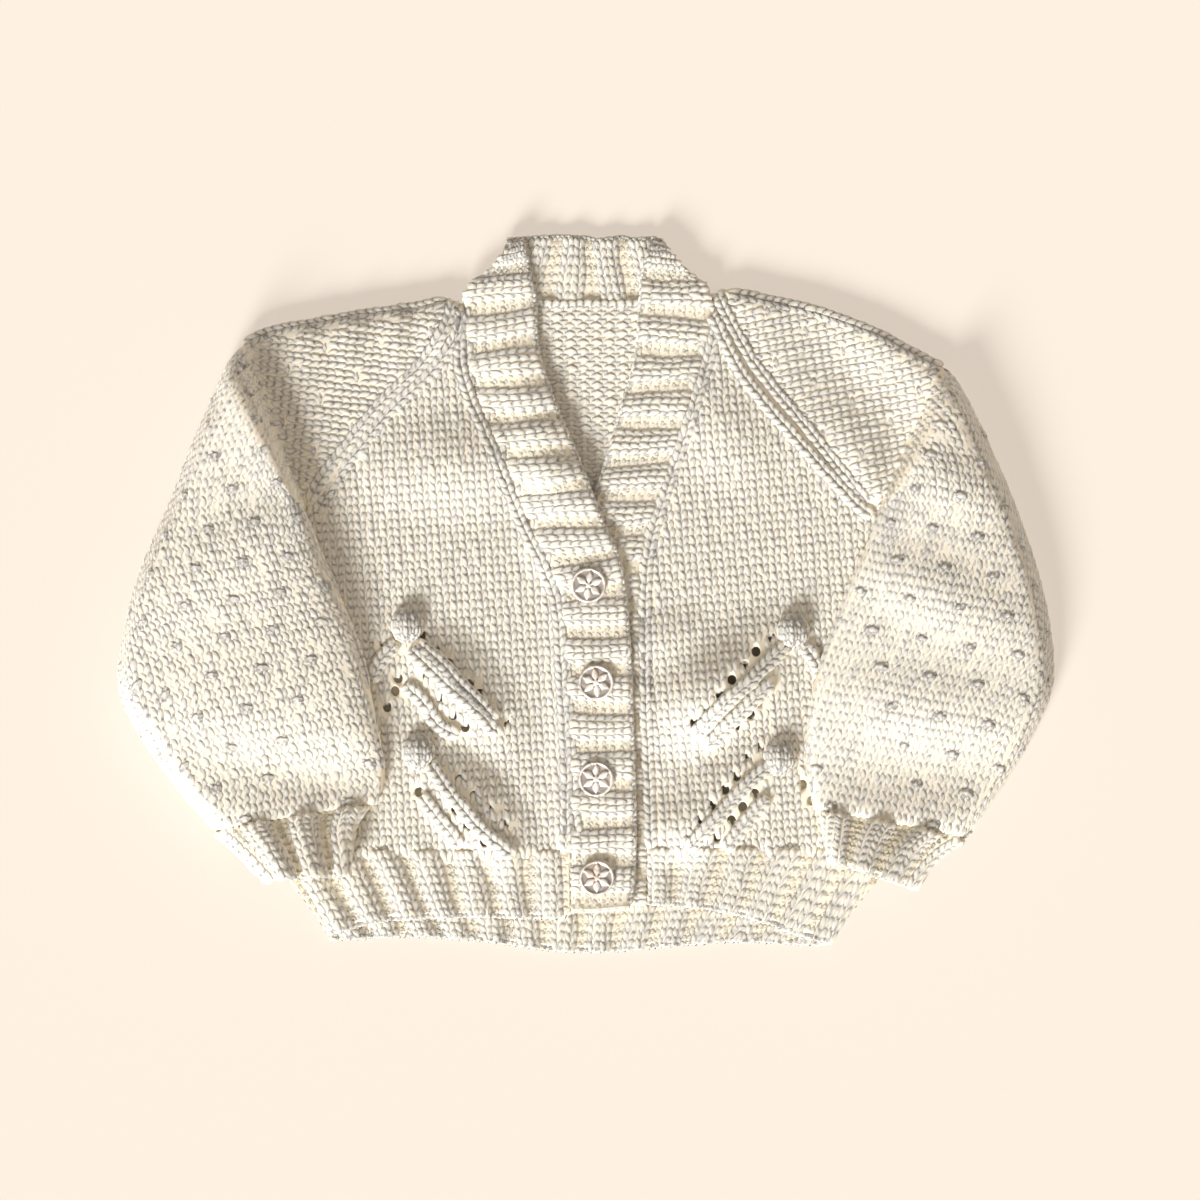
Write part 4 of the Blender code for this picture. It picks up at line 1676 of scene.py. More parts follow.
@dataclass
class Sleeve(Piece):
    """A sleeve, laid flat and folded down at the shoulder, its lower half over the front.

    Attributes:
        rings: Ring rows from the raglan seam to the cuff.
        fold: Which ring the fold lies at.
        cap_foot: Plan point of the cap's stitch 0, row 0, mm.
        cap_lean: Turn of the cap's columns to the left of +Y, degrees.
        folds: Soft rises and troughs of its upper layer.
        raglan: Plan path of the column of stitches along its raglan seam, from the underarm, mm.
        row_height: Height of a row, mm.
        steps: Rings from one ring row to the next.
    """

    rings: Sequence[Sequence[float]]
    fold: int
    cap_foot: tuple[float, float]
    cap_lean: float
    folds: Sequence[Sequence[float]]
    raglan: Sequence[Sequence[float]]
    row_height: float = 3.25
    steps: int = 10

    def tube(self) -> Tube:
        """The tube through its rings.

        Returns:
            The tube.
        """
        return Tube(refined(self.rings, self.steps), self.folds)

    def outline(self) -> np.ndarray:
        """Its plan outline.

        Returns:
            (n, 2) corners, mm.
        """
        rows = refined(self.rings, 4)
        return np.concatenate([rows[:, 0:2], rows[::-1, 2:4]])

    def lower_outline(self) -> np.ndarray:
        """Plan outline of the part below the fold.

        Returns:
            (n, 2) corners, mm.
        """
        rows = refined(self.rings[self.fold :], 4)
        return np.concatenate([rows[:, 0:2], rows[::-1, 2:4]])

    def pattern(self, c: np.ndarray, r: np.ndarray) -> np.ndarray:
        """Which stitches are the scattered purl ones.

        They are one in 4, every 4 rows, moved over by 2 from one such row to the next. One in 13 is
        left out.

        Args:
            c: Stitch counts.
            r: Row counts.

        Returns:
            Booleans.
        """
        column, row = np.floor(c).astype(int), np.floor(r).astype(int)
        placed = (row % 4 == 0) & ((column + (row // 4 % 2) * 2) % 4 == 0)
        return placed & ((column * 7 + row * 3) % 13 != 0)

    def build(self, looks: Looks) -> None:
        """Makes the shell, and the stitches of the lower sleeve and of the cap on both layers.

        Args:
            looks: The finishes.
        """
        tube = self.tube()
        mirrored = self.rings[0][0] > 0
        upper, lower = Yarn(), Yarn()
        fold = self.fold * self.steps
        below = Tube(tube.rings[fold:], self.folds)
        fabric, columns, margin = below.wales(-46.0, 14.0, 110.0, self.row_height)
        face = Side.UNDER if mirrored else Side.FACE
        c, r = stitch_grid((-45, 13), (0, 108))
        kept = margin[((c - columns[0]) * 2).astype(int), (r * 2).astype(int)] > -0.1
        c, r = c[kept], r[kept]
        points = fabric.at(c, r)
        top_z = tube.height(True)(points[:, 0], points[:, 1])
        low_z = tube.height(False)(points[:, 0], points[:, 1])
        on_top = points[:, 2] > (top_z + low_z) / 2 - 1.2
        nubs = self.pattern(c, r)
        for yarn, chosen, fineness in ((upper, on_top, FINE), (lower, ~on_top, COARSE)):
            for kind, wanted, lift in ((Kind.KNIT, chosen & ~nubs, -0.22), (Kind.NUB, chosen & nubs, -0.12)):
                yarn.stitch(fabric, c[wanted], r[wanted], kind, face, fineness, YARN * 1.1, lift)
        self.cap(tube, upper, lower)
        parts = [
            upper.build(self.node + "_stitches", looks.wool),
            lower.build(self.node + "_underside", looks.wool),
        ]
        points = tube.sections()[::3, ::3][:, :-1]
        if not mirrored:
            points = points[:, ::-1]
        self.declare(self.shell(points, looks, closed=True), parts)

    def shoulder(self, rows: np.ndarray, inset: float = 1.7) -> np.ndarray:
        """Plan path of the column of stitches along the shoulder.

        Args:
            rows: Ring rows of the cap.
            inset: How far inside the outline it runs, mm.

        Returns:
            (n, 2) points, mm.
        """
        return rows[:, 2:4] + unit(rows[:, 0:2] - rows[:, 2:4]) * inset

    def cap_outline(self) -> np.ndarray:
        """Plan outline of the cap that shows, from the column along its raglan seam.

        Returns:
            (n, 2) corners, mm.
        """
        rows = self.tube().rings[: self.fold * self.steps + 1]
        return np.concatenate([smooth_path(self.raglan), rows[:, 2:4], rows[-1:, 0:2]])

    def cap(self, tube: Tube, upper: Yarn, lower: Yarn) -> None:
        """Adds the cap's stitches, between the raglan seam and the fold.

        Args:
            tube: The whole sleeve's tube.
            upper: The yarn on top.
            lower: The yarn underneath.
        """
        rows = tube.rings[: self.fold * self.steps + 1]
        outline = np.concatenate([rows[:, 0:2], rows[::-1, 2:4]])
        span = (-34.0, 34.0, -4.0, 40.0)
        for over, yarn, fineness in ((True, upper, FINE), (False, lower, COARSE)):
            fabric = plan_fabric(self.cap_foot, self.cap_lean, span, tube.height(over))
            c, r = stitch_grid((-33, 33), (-3, 39))
            plan = fabric.at(c, r)[:, :2]
            kept = well_inside(plan, self.cap_outline(), 0.4) if over else well_inside(plan, outline, 2.2)
            if over:
                for path in (self.shoulder(rows), smooth_path(self.raglan)):
                    kept &= distance_to_line(plan, path) > 1.4
                    column = strip_fabric(path, 4.5, tube.height(True), 0.4)
                    links = np.arange(1.5, column.table.shape[1] * 0.5 - 1.5)
                    yarn.stitch(column, 0 * links, links, Kind.KNIT, radius=YARN * 1.05)
            c, r = c[kept], r[kept]
            side = Side.FACE if over else Side.UNDER
            nubs = self.pattern(c, r) & over
            yarn.stitch(fabric, c[~nubs], r[~nubs], Kind.KNIT, side, fineness)
            yarn.stitch(fabric, c[nubs], r[nubs], Kind.NUB, side, fineness, lift=-0.4)


@dataclass
class Cuff(Piece):
    """A ribbed cuff at a sleeve's end.

    Attributes:
        rings: Ring rows from the sleeve to the edge.
        rows: Rows of stitches along it.
        phase: Stitches by which the first repeat is already over.
        depth: Height of a rib over the middle, mm.
    """

    rings: Sequence[Sequence[float]]
    rows: int
    phase: float
    depth: float = 1.3

    def build(self, looks: Looks) -> None:
        """Makes the shell, its ribs' stitches and its edge.

        Args:
            looks: The finishes.
        """
        mirrored = self.rings[0][0] > 0
        tube = Tube(refined(self.rings, 6))
        fabric = tube.ribs(self.rows, -self.depth if mirrored else self.depth, self.phase)
        columns = int((fabric.table.shape[0] - 1) * 0.25)
        face = Side.UNDER if mirrored else Side.FACE
        upper, lower = Yarn(), Yarn()
        for yarn, above, fineness in ((upper, True, FINE), (lower, False, COARSE)):
            c, r = stitch_grid((0, columns), (0, self.rows))
            chosen = (fabric.normal(c, r)[:, 2] * face.value > -0.35) == above
            c, r = c[chosen], r[chosen]
            knit = (c + self.phase) % 4.0 < 2.0
            yarn.stitch(fabric, c[knit], r[knit], Kind.KNIT, face, fineness, YARN * 1.05)
            # The purl stitches in the cuff's deeper furrows get twice the painted shade.
            yarn.painted_shade = 2.0 * FURROW_SHADE
            yarn.stitch(fabric, c[~knit], r[~knit], Kind.PURL, face, fineness, YARN * 0.85, -0.1)
            yarn.painted_shade = 0.0
        at = np.arange(0.3, columns - 0.3, LINK_STEP)
        upper.lengths(fabric, at, np.full(len(at), 0.05), EDGE_LINK, face, FINE, LINK_YARN, -0.5)
        parts = [
            upper.build(self.node + "_stitches", looks.wool),
            lower.build(self.node + "_underside", looks.wool),
        ]
        points = fabric.table[::2, ::4][:-1].transpose(1, 0, 2)
        if mirrored:
            points = points[::-1]
        self.declare(self.shell(points, looks, closed=True), parts)


@dataclass
class Bobble:
    """A knitted bobble, standing on a front.

    Attributes:
        node: The CAD node that it stands for.
        x: Plan position, mm.
        y: Plan position, mm.
        height: Height of the front's middle over the plan.
        radius: Its radius in plan, mm.
    """

    node: str
    x: float
    y: float
    height: Height
    radius: float = 6.0

    def build(self, looks: Looks) -> None:
        """Makes the ball and the stitches on it.

        The ball is an ellipsoid whose columns of stitches run from its foot over its top.

        Args:
            looks: The finishes.
        """
        base = float(self.height(np.array([self.x]), np.array([self.y]))[0]) + 0.8
        rise = self.radius * 0.84
        columns, rows = np.arange(-3.5, 3.51, 0.5), np.arange(-0.5, 7.01, 0.5)
        c, r = np.meshgrid(columns, rows, indexing="ij")
        lat = (r / 6.5 - 0.5) * math.pi * 0.94
        lon = c / 3.0 * math.pi / 2 * 0.92
        size = self.radius - 0.75
        x = self.x + size * np.sin(lon) * np.cos(lat)
        y = self.y + size * np.sin(lat)
        z = base + (rise - 0.75) * np.cos(lat) * np.cos(lon)
        fabric = Fabric(np.stack([x, y, z], -1), -3.5, -0.5, 0.5)
        yarn = Yarn()
        sc, sr = np.meshgrid(np.arange(-2, 3) * 1.0, np.arange(0.5, 6.5), indexing="ij")
        yarn.stitch(fabric, sc.ravel(), sr.ravel(), Kind.KNIT, lift=-0.35, uneven=1.6)
        yarn.lays = [unit(lay + [0.0, 0.0, 0.8]) for lay in yarn.lays]
        turn = np.linspace(0, 2 * math.pi, 24, endpoint=False)
        dome = np.linspace(0.02, 1.0, 8) * math.pi / 2
        ball = np.stack(
            [
                self.x + size * np.outer(np.sin(dome), np.cos(turn)),
                self.y + size * np.outer(np.sin(dome), np.sin(turn)),
                base - 0.6 + (rise - 0.2) * np.outer(np.cos(dome), np.ones(24)),
            ],
            axis=-1,
        )
        half_ball = grid_mesh(self.node + "_core", ball[::-1], closed=True)
        # The core takes the backing's colour, darkened as painted shade under the bobble's stitches.
        core = placed(self.node + "_core", half_ball, looks.backing)
        core.modifiers.new("thickness", "SOLIDIFY").thickness = 0.5 * MM
        knop = yarn.build(self.node + "_stitches", looks.wool)
        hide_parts(self.node)
        for part in (core, knop):
            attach(part, "root")


@dataclass
class Button:
    """A pearly shank button with a flower in relief.

    Attributes:
        node: The CAD node that it stands for.
        x: Plan position, mm.
        y: Plan position, mm.
        turn: Turn of the flower, degrees.
        radius: Its radius, mm.
    """

    node: str
    x: float
    y: float
    turn: float
    radius: float = 6.15

    def relief(self, x: np.ndarray, y: np.ndarray) -> np.ndarray:
        """Height of the face over its dish.

        The rim is a round roll, the middle a boss, and each of 6 petals a pointed lens that is
        0.8 (1 - |across / half|^3) high, where half is 1.32 sin(pi share^0.85).

        Args:
            x: Positions from the middle, mm.
            y: Positions from the middle, mm.

        Returns:
            Heights, mm.
        """
        out = np.hypot(x, y)
        rim = 0.55 * np.exp(-(((out - self.radius + 0.55) / 0.42) ** 2))
        boss = 0.75 * np.clip(1 - (out / 1.15) ** 2, 0, 1) ** 0.5
        angle = np.degrees(np.arctan2(y, x)) - self.turn
        off = np.radians((angle + 30.0) % 60.0 - 30.0)
        along, across = out * np.cos(off), out * np.sin(off)
        share = np.clip((along - 0.9) / 4.2, 0, 1)
        half = 1.32 * np.sin(math.pi * share**0.85) + 1e-3
        petal = 0.8 * np.clip(1 - np.abs(across / half) ** 3.0, 0, 1) * (share > 0) * (share < 1)
        return np.maximum(np.maximum(rim, petal), boss)

    def build(self, looks: Looks) -> None:
        """Makes the button as a closed turned body with its face in relief.

        Args:
            looks: The finishes.
        """
        around = 108
        foot = float(right_height(np.array([self.x]), np.array([self.y]))[0]) + 1.2
        turn = np.linspace(0, 2 * math.pi, around, endpoint=False)
        radii = np.linspace(0.02, self.radius - 0.25, 30)
        top_x, top_y = np.outer(radii, np.cos(turn)), np.outer(radii, np.sin(turn))
        relief = self.relief(top_x, top_y)
        top_z = foot + 1.2 + relief
        # r, height over the foot: round the rim, under the disc and down the shank
        rest = [
            (self.radius - 0.06, 1.45),
            (self.radius, 1.1),
            (self.radius - 0.3, 0.55),
            (self.radius - 1.2, 0.15),
            (3.0, 0.0),
            (1.3, 0.0),
            (1.3, -3.2),
            (0.02, -3.2),
        ]
        rings = [np.stack([top_x, top_y, top_z], -1)]
        for r, z in rest:
            rings.append(np.stack([r * np.cos(turn), r * np.sin(turn), np.full(around, foot + z)], -1)[None])
        points = np.concatenate(rings) + np.array([self.x, self.y, 0.0])
        mesh = grid_mesh(self.node + "_body", points[::-1], closed=True)
        raised = np.full(points.shape[:2], 0.4)
        raised[: len(radii)] = np.clip(relief / 0.5, 0.0, 1.0)
        mesh.attributes.new("raised", "FLOAT", "POINT").data.foreach_set("value", raised[::-1].ravel())
        button = placed(self.node + "_body", mesh, looks.pearl)
        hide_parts(self.node)
        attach(button, "root")
        log.info("%s: %d faces", self.node, len(button.data.polygons))


# ---------------------------------------------------------------- sizes

BACK_LINES = [
    # left x, left y, right x, right y, bow
    (-104.0, -99.5, 104.0, -99.5, 0.0),
    (-105.5, -60.0, 105.5, -60.0, 0.0),
    (-105.0, -20.0, 105.0, -20.0, 0.0),
    (-101.5, 10.0, 102.5, 10.0, 0.0),
    (-94.0, 26.0, 98.5, 26.0, 0.0),
    (-77.7, 51.0, 81.0, 51.0, 0.0),
    (-61.4, 76.0, 63.5, 76.0, 0.0),
    (-45.0, 101.2, 46.0, 101.2, 0.0),
]
RIGHT_LINES = [
    (-104.8, -89.7, -5.3, -89.7, 0.0),
    (-105.5, -60.0, -5.3, -60.0, 0.0),
    (-105.0, -30.0, -6.9, -30.0, 0.0),
    (-104.0, -5.0, -8.6, -5.0, 0.0),
    (-101.0, 12.0, -14.6, 12.0, 0.0),
    (-94.0, 26.0, -21.4, 26.0, 0.0),
    (-77.7, 51.0, -31.6, 51.0, 0.0),
    (-61.4, 76.0, -41.6, 76.0, 0.0),
    (-47.3, 97.5, -42.4, 97.5, 0.0),
]
LEFT_LINES = [
    (21.5, -88.7, 104.8, -88.7, 0.0),
    (20.2, -60.0, 105.5, -60.0, 0.0),
    (19.3, -30.0, 105.0, -30.0, 0.0),
    (19.2, -5.0, 104.2, -5.0, 0.0),
    (20.0, 12.0, 102.0, 12.0, 0.0),
    (23.4, 26.0, 98.5, 26.0, 0.0),
    (31.8, 51.0, 81.0, 51.0, 0.0),
    (39.7, 76.0, 63.5, 76.0, 0.0),
    (45.2, 97.5, 48.8, 97.5, 0.0),
]
RIGHT_BAND = [
    # seam x, seam y, free x, free y, from the hem up
    (-4.9, -111.0, 15.2, -110.2),
    (-4.9, -85.0, 16.8, -85.0),
    (-5.3, -50.0, 16.0, -50.0),
    (-6.9, -25.0, 15.1, -25.0),
    (-8.3, -3.0, 13.4, -1.0),
    (-12.6, 10.0, 10.8, 13.0),
    (-19.4, 24.0, 5.4, 24.6),
    (-27.4, 44.5, -2.8, 46.0),
    (-36.6, 65.6, -11.4, 66.5),
    (-41.3, 82.0, -17.0, 84.5),
    (-41.8, 97.5, -18.0, 101.0),
    (-42.6, 105.2, -19.0, 107.4),
    (-35.4, 111.4, -20.4, 113.2),
    (-25.0, 122.6, -22.8, 122.9),
]
LEFT_BAND = [
    (20.8, -109.0, 1.0, -109.0),
    (20.9, -85.0, 1.0, -85.0),
    (19.5, -50.0, 0.6, -50.0),
    (18.8, -25.0, -0.4, -25.0),
    (18.6, -3.0, -1.2, -4.0),
    (19.2, 10.0, -1.6, 8.0),
    (22.0, 24.0, -0.6, 22.5),
    (29.4, 44.5, 6.6, 43.5),
    (35.4, 65.6, 12.8, 65.0),
    (40.6, 82.0, 17.6, 82.0),
    (43.9, 97.5, 19.0, 100.0),
    (42.6, 106.6, 19.6, 107.0),
    (35.6, 112.4, 20.6, 113.4),
    (26.0, 122.6, 23.9, 122.9),
]
LEFT_SLEEVE = [
    # in x, in y, out x, out y, base, hold, crown, anchor
    (98.9, 26.3, 46.9, 106.5, 0.0, 0.0, 6.0, 50.0),
    (99.6, 27.0, 62.0, 103.4, 0.0, 0.0, 7.0, 50.0),
    (100.4, 27.6, 80.0, 99.6, 0.0, 0.0, 8.4, 50.0),
    (101.2, 27.9, 100.0, 92.4, 0.0, 0.0, 8.6, 50.0),
    (102.0, 27.8, 114.0, 85.0, 0.0, 0.0, 7.4, 50.0),
    (102.6, 27.5, 124.5, 79.6, 2.0, 3.0, 6.4, 50.0),
    (103.1, 26.8, 130.4, 73.8, 6.0, 4.0, 10.2, 50.0),
    (101.5, 24.4, 137.3, 61.0, 6.0, 5.0, 11.0, 49.0),
    (99.0, 20.5, 144.0, 46.5, 6.0, 7.0, 11.0, 48.0),
    (96.3, 14.0, 151.4, 29.0, 6.0, 14.0, 10.6, 46.0),
    (90.0, 0.0, 159.3, 5.0, 6.0, 22.0, 10.6, 45.0),
    (83.6, -17.5, 163.4, -16.0, 6.0, 30.0, 10.2, 44.0),
    (78.4, -35.0, 163.6, -33.5, 6.0, 36.0, 9.4, 41.0),
    (76.3, -53.0, 155.8, -51.6, 6.0, 38.0, 8.4, 36.0),
    (77.2, -66.0, 146.0, -68.0, 6.0, 37.0, 7.4, 30.0),
    (79.0, -75.0, 134.0, -85.0, 6.0, 35.0, 8.6, 26.0),
]
LEFT_CUFF = [
    (79.1, -75.4, 133.4, -85.6, 6.0, 35.0, 8.8, 0.0),
    (81.0, -83.0, 124.4, -91.8, 6.0, 33.0, 10.8, 0.0),
    (83.8, -92.6, 115.2, -103.2, 6.0, 30.0, 13.0, 0.0),
]
RIGHT_SLEEVE = [
    (-94.4, 26.3, -46.4, 103.5, 0.0, 0.0, 6.0, 50.0),
    (-95.1, 27.0, -60.0, 100.4, 0.0, 0.0, 7.0, 50.0),
    (-95.9, 27.6, -78.0, 98.2, 0.0, 0.0, 8.4, 50.0),
    (-96.7, 27.9, -96.0, 95.0, 0.0, 0.0, 8.6, 50.0),
    (-97.5, 27.8, -110.0, 92.5, 0.0, 0.0, 7.4, 50.0),
    (-98.1, 27.5, -119.0, 87.8, 2.0, 3.0, 6.4, 50.0),
    (-98.6, 26.8, -125.0, 81.0, 8.0, 4.0, 12.4, 50.0),
    (-97.0, 24.4, -130.6, 68.6, 8.0, 5.0, 13.0, 49.0),
    (-94.5, 20.5, -137.0, 55.0, 8.0, 7.0, 12.0, 48.0),
    (-91.8, 14.0, -146.0, 32.0, 8.0, 14.0, 11.6, 46.0),
    (-85.6, 0.0, -156.2, 8.0, 8.0, 22.0, 11.4, 43.0),
    (-78.6, -17.5, -162.4, -14.0, 8.0, 30.0, 10.4, 40.0),
    (-74.4, -35.0, -163.9, -34.0, 8.0, 36.0, 9.2, 38.0),
    (-71.2, -51.0, -154.6, -53.0, 8.0, 39.0, 8.0, 36.0),
    (-69.6, -64.0, -142.6, -69.5, 7.0, 39.0, 7.0, 33.0),
    (-72.4, -73.0, -131.0, -82.5, 6.0, 37.0, 8.4, 30.0),
]
RIGHT_CUFF = [
    (-72.7, -73.4, -130.4, -83.0, 6.0, 37.0, 8.6, 0.0),
    (-78.4, -82.0, -123.0, -89.8, 6.0, 33.0, 11.0, 0.0),
    (-82.0, -98.0, -112.9, -100.0, 6.0, 30.0, 14.6, 0.0),
]
LEFT_RAGLAN = [
    (99.4, 27.2), (93.9, 31.6), (83.9, 42.2), (73.0, 54.4), (61.7, 67.4), (53.0, 79.0),
    (44.6, 96.0),
]
LEFT_VALLEY = [
    (96.4, 32.0), (86.0, 43.6), (75.2, 55.8), (63.6, 69.6), (55.4, 80.6), (48.2, 94.0),
    (44.4, 102.4),
]
LEFT_CAP_EDGE = [
    (99.4, 30.6), (88.6, 43.6), (77.6, 57.2), (65.9, 70.8), (57.8, 81.6), (51.4, 92.6),
    (46.0, 104.4),
]
RIGHT_CAP_EDGE = [
    (-97.2, 30.4), (-92.2, 40.6), (-83.6, 51.7), (-72.2, 65.9), (-57.8, 79.5), (-49.6, 92.0),
    (-46.6, 101.4),
]
RIGHT_RAGLAN = [
    (-93.6, 28.2), (-88.8, 38.0), (-80.2, 49.0), (-68.8, 63.2), (-54.4, 76.8), (-45.6, 89.6),
    (-43.8, 96.0),
]
RIGHT_CORDS = [
    [(-31.2, -48.6), (-35.5, -43.5), (-41.0, -38.0), (-46.2, -33.6), (-53.8, -26.6), (-60.4, -20.4)],
    [(-32.1, -43.6), (-37.8, -37.8), (-44.5, -31.3), (-51.4, -23.8), (-58.0, -18.2)],
    [(-45.3, -49.2), (-51.4, -46.2), (-53.6, -43.0), (-57.0, -37.6), (-62.3, -32.6)],
    [(-26.0, -91.2), (-31.2, -87.0), (-37.4, -81.5), (-43.4, -74.2), (-48.7, -67.5), (-53.7, -60.2)],
    [(-44.4, -87.8), (-47.3, -83.0), (-52.1, -77.4), (-57.0, -71.4)],
    [(-75.0, -30.4), (-72.0, -24.0), (-67.0, -18.4)],
]
LEFT_CORDS = [
    [(38.4, -48.6), (43.6, -43.2), (49.8, -37.0), (56.2, -31.4), (63.0, -24.4), (69.4, -18.6)],
    [(42.8, -53.0), (48.2, -47.0), (53.6, -41.6), (58.8, -36.4), (64.0, -31.6)],
    [(36.2, -88.6), (41.4, -82.6), (47.2, -76.6), (52.8, -70.2), (58.8, -64.2), (65.8, -59.2)],
    [(49.0, -89.0), (53.4, -82.8), (58.2, -77.0), (62.6, -72.2)],
    [(84.0, -32.0), (80.6, -24.6), (76.4, -18.6)],
]
LEFT_EYELETS = [
    (64.6, -15.4), (59.3, -20.5), (55.0, -25.4), (50.8, -30.3), (46.8, -35.8), (42.6, -40.4),
    (37.7, -45.3), (63.8, -33.2), (60.2, -37.7), (57.4, -42.4), (52.1, -46.5), (78.3, -21.8),
    (60.8, -53.7), (56.3, -57.8), (52.5, -63.9), (48.5, -68.6), (43.8, -74.1), (39.8, -78.9),
    (34.8, -84.9), (58.9, -70.0), (54.7, -74.6), (50.8, -79.3), (45.6, -85.2), (75.6, -66.9),
    (78.8, -72.5),
]
RIGHT_EYELETS = [
    (-55.4, -29.4), (-50.6, -36.8), (-46.3, -42.6), (-42.1, -46.8), (-27.0, -45.9), (-70.4, -17.5),
    (-73.9, -22.8), (-65.5, -29.8), (-66.6, -34.3), (-69.3, -39.9), (-44.1, -65.1), (-38.9, -70.7),
    (-33.7, -75.6), (-28.5, -80.9), (-58.2, -69.5), (-45.4, -75.6), (-41.7, -81.7), (-35.4, -86.8),
    (-56.7, -15.1), (-52.5, -20.0), (-47.8, -24.7), (-40.6, -31.9), (-37.0, -35.2),
]
BACK_HEM = [
    (-89.2, -121.2), (-78.6, -120.4), (-60.0, -119.8), (-35.0, -121.4), (-12.0, -124.6),
    (8.0, -125.0), (30.0, -123.0), (53.0, -121.6), (74.0, -122.4), (85.6, -122.6),
]
RIGHT_HEM = [
    (-88.9, -119.0), (-74.9, -115.2), (-64.4, -113.8), (-44.1, -113.0), (-30.0, -113.0),
    (-12.6, -113.4), (-5.2, -112.0),
]
LEFT_HEM = [(21.4, -108.4), (43.0, -110.2), (63.4, -115.2), (74.0, -119.4), (84.6, -122.0)]
NECK_EDGE = [
    (-27.0, 123.4), (-10.0, 124.4), (0.0, 124.0), (5.0, 123.2), (12.0, 124.2), (16.0, 123.4),
    (27.0, 124.0),
]
BUTTONS = [
    # name, x, y, turn
    ("button_1", 0.9, 2.6, 83.0), ("button_2", 3.5, -31.3, 97.0), ("button_3", 3.5, -64.9, 90.0),
    ("button_4", 3.8, -99.4, 90.0),
]


def ends(table: Sequence[Sequence[float]], steps: int, up: bool) -> tuple[np.ndarray, np.ndarray]:
    """The two long edges of a band.

    Args:
        table: Band rows.
        steps: Points from one row to the next.
        up: Whether they run from the hem up, or else down.

    Returns:
        The seam's and the free edge's plan points, mm.
    """
    rows = refined(table, steps)
    rows = rows if up else rows[::-1]
    return rows[:, 0:2], rows[:, 2:4]


def sewn_line(points: Sequence[Sequence[float]], count: int = 121) -> np.ndarray:
    """A plan line through points, bent softly, with even steps.

    Args:
        points: Rows of x and y, mm.
        count: Points of the line.

    Returns:
        (count, 2) points, mm.
    """
    line = refined(points, 8)
    along = distance_along(line)
    return sampled(np.linspace(0.0, along[-1], count), along, line)


def below_hem(points: np.ndarray) -> np.ndarray:
    """Which points of the back welt the front welts leave in view.

    Args:
        points: (n, 3) points, mm.

    Returns:
        (n,) booleans.
    """
    return (points[:, 1] < -105.0) | (np.abs(points[:, 0]) > 84.0)


def beside_upper_band(points: np.ndarray) -> np.ndarray:
    """Which points of the button band the buttonhole band leaves in view.

    Args:
        points: (n, 3) points, mm.

    Returns:
        (n,) booleans.
    """
    return (points[:, 0] > 13.0) | (points[:, 1] > 14.0)


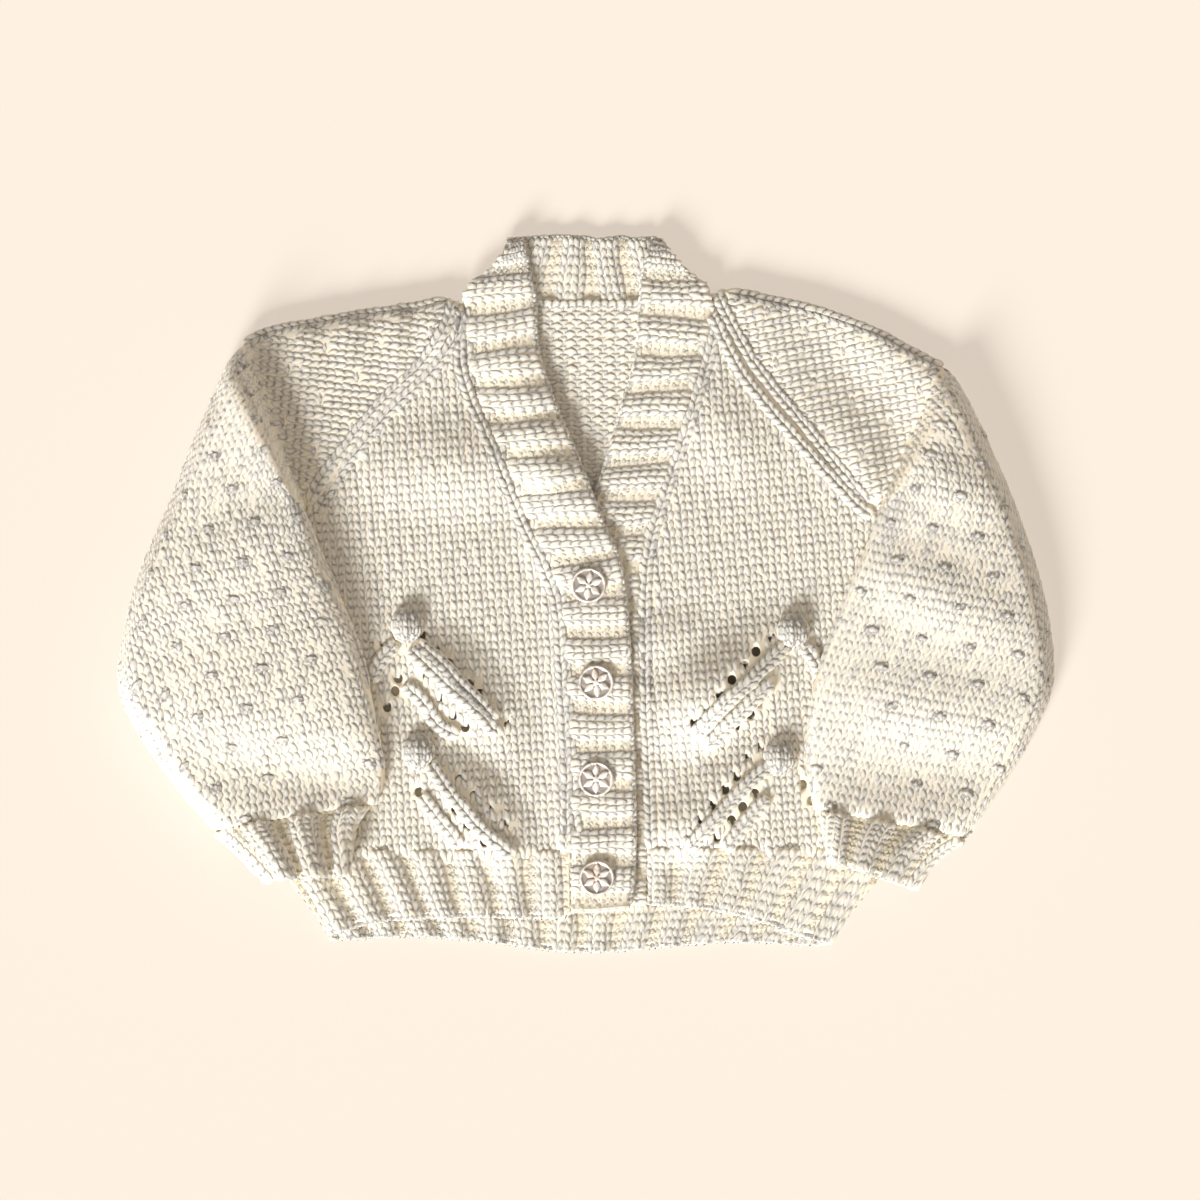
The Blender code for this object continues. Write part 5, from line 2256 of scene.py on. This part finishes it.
def build_garment(looks: Looks) -> None:
    """Makes every piece of the cardigan, from the back up.

    Args:
        looks: The finishes.
    """
    right_sleeve = Sleeve(
        "right_sleeve", (0.168, 0.205), 0.0246, ("right_front", "back"), RIGHT_SLEEVE, 5,
        (-44.0, 60.0), 84.0, RIGHT_FOLDS, RIGHT_CAP_EDGE,
    )
    left_sleeve = Sleeve(
        "left_sleeve", (0.168, 0.205), 0.0239, ("left_front", "back"), LEFT_SLEEVE, 5,
        (44.0, 60.0), -80.0, LEFT_FOLDS, LEFT_CAP_EDGE,
    )

    Back("back", (0.211, 0.201), 0.0380, ("floor",), BACK_LINES, back_height, (0.0, -99.5), 1.0).build(looks)

    Ribbed(
        "back_welt", (0.195, 0.023), None, ("floor",),
        sewn_line(BACK_HEM),
        sewn_line([(-103.6, -99.8), (0.0, -99.8), (103.6, -99.8)]),
        8, back_height, 2, 0.05, 0.7, below_hem, True,
    ).build(looks)
    Ribbed(
        "back_neckband", (0.064, 0.024), None, ("back",),
        sewn_line([(-36.0, 101.6), (0.0, 101.6), (37.0, 101.6)]),
        sewn_line(NECK_EDGE),
        7, back_height, 1, 6.9, under=True,
    ).build(looks)

    Front(
        "right_front", (0.100, 0.187), 0.0134, ("back",), RIGHT_LINES, right_height, (-5.5, -90.0), 3.6,
        Motif([smooth_path(path) for path in RIGHT_CORDS], np.array(RIGHT_EYELETS)),
        right_sleeve.lower_outline(), right_sleeve.cap_outline(), smooth_path(RIGHT_RAGLAN), 0.5,
    ).build(looks)
    Front(
        "left_front", (0.086, 0.186), 0.0123, ("back",), LEFT_LINES, left_height, (21.8, -89.0), 4.6,
        Motif([smooth_path(path) for path in LEFT_CORDS], np.array(LEFT_EYELETS)),
        left_sleeve.lower_outline(), left_sleeve.cap_outline(), smooth_path(LEFT_RAGLAN), 1.0,
        smooth_path(LEFT_VALLEY),
    ).build(looks)

    Ribbed(
        "right_welt", (0.099, 0.026), None, ("back_welt",),
        sewn_line(RIGHT_HEM),
        sewn_line([(-104.4, -90.0), (-50.0, -90.0), (-5.2, -90.0)]),
        8, right_height, 0, 0.05, depth=0.8,
    ).build(looks)
    Ribbed(
        "left_welt", (0.084, 0.026), None, ("back_welt",),
        sewn_line(LEFT_HEM),
        sewn_line([(21.4, -89.0), (60.0, -89.0), (104.4, -89.0)]),
        8, left_height, 0, 0.05, depth=0.8,
    ).build(looks)

    seam, free = ends(LEFT_BAND, 6, True)
    Ribbed(
        "left_band", (0.236, 0.022), None, ("left_front", "back"), seam, free, 7, left_height, 0, 6.9,
        keep=beside_upper_band,
    ).build(looks)
    seam, free = ends(RIGHT_BAND, 6, False)
    Ribbed(
        "right_band", (0.242, 0.022), None, ("right_front", "left_band"), seam, free, 7,
        right_height, 0, 6.9,
    ).build(looks)

    right_sleeve.build(looks)
    left_sleeve.build(looks)
    Cuff("right_cuff", (0.112, 0.0185), None, ("right_front",), RIGHT_CUFF, 8, 3.0).build(looks)
    Cuff("left_cuff", (0.104, 0.017), None, ("left_front",), LEFT_CUFF, 8, 3.0).build(looks)

    Bobble("bobble_right_upper", -62.3, -11.4, right_height).build(looks)
    Bobble("bobble_right_lower", -58.4, -55.5, right_height).build(looks)
    Bobble("bobble_left_upper", 72.2, -13.6, left_height).build(looks)
    Bobble("bobble_left_lower", 67.6, -57.4, left_height).build(looks)
    for name, x, y, turn in BUTTONS:
        Button(name, x, y, turn).build(looks)


# ---------------------------------------------------------------- stage


@dataclass(frozen=True)
class Stage:
    """Camera, light and floor.

    Attributes:
        centre: Plan point that the camera looks down on, m.
        span: Width of the floor in view, m.
        rise: Height of the camera, m.
        floor_half: Half the floor's width, mm.
        floor_level: Height of the floor, mm.
        sun_strength: Strength of the low sun.
        sun_spread: Its width as seen from the floor, degrees.
        sun_colour: Its colour, as sRGB hex.
        sun_heading: Which way its light goes.
        fill_strength: Strength of the soft fill from all round.
        fill_colour: Its colour, as sRGB hex.
    """

    centre: tuple[float, float] = (0.0049, -0.0025)
    span: float = 0.42
    rise: float = 2.4
    floor_half: float = 3000.0
    floor_level: float = -0.2
    sun_strength: float = 5.35
    sun_spread: float = 20.0
    sun_colour: str = "#FFFDF8"
    sun_heading: tuple[float, float, float] = (0.40, 0.80, -0.44)
    fill_strength: float = 0.48
    fill_colour: str = "#FFEFDB"

    def build(self, looks: Looks) -> None:
        """Makes the camera, the floor, the low sun and the soft fill.

        Args:
            looks: The finishes.
        """
        camera = bpy.data.cameras.new("camera")
        camera.lens = 36.0 * self.rise / self.span
        camera.clip_end = 20.0
        eye = bpy.data.objects.new("camera", camera)
        eye.location = (*self.centre, self.rise)
        bpy.context.scene.collection.objects.link(eye)
        bpy.context.scene.camera = eye

        ends_of = np.array([-self.floor_half, self.floor_half])
        y, x = np.meshgrid(ends_of, ends_of, indexing="ij")
        corners = np.stack([x, y, np.full(x.shape, self.floor_level)], axis=-1)
        floor = placed("floor", grid_mesh("floor", corners), looks.floor)

        sun = bpy.data.lights.new("sun", "SUN")
        sun.energy = self.sun_strength
        sun.angle = math.radians(self.sun_spread)
        sun.color = linear(self.sun_colour)[:3]
        lamp = bpy.data.objects.new("sun", sun)
        toward = Vector(self.sun_heading)
        lamp.rotation_mode = "QUATERNION"
        lamp.rotation_quaternion = toward.to_track_quat("-Z", "Y")
        bpy.context.scene.collection.objects.link(lamp)

        world = bpy.data.worlds.new("studio")
        bpy.context.scene.world = world
        world.use_nodes = True
        fill = world.node_tree.nodes["Background"]
        fill.inputs["Color"].default_value = linear(self.fill_colour)
        fill.inputs["Strength"].default_value = self.fill_strength
        bpy.context.scene.view_settings.view_transform = "Standard"


def main() -> None:
    """Builds the cardigan and the stage."""
    logging.basicConfig(level=logging.INFO, format="%(message)s")
    looks = make_looks()
    build_garment(looks)
    Stage().build(looks)


if __name__ == "__main__":
    main()
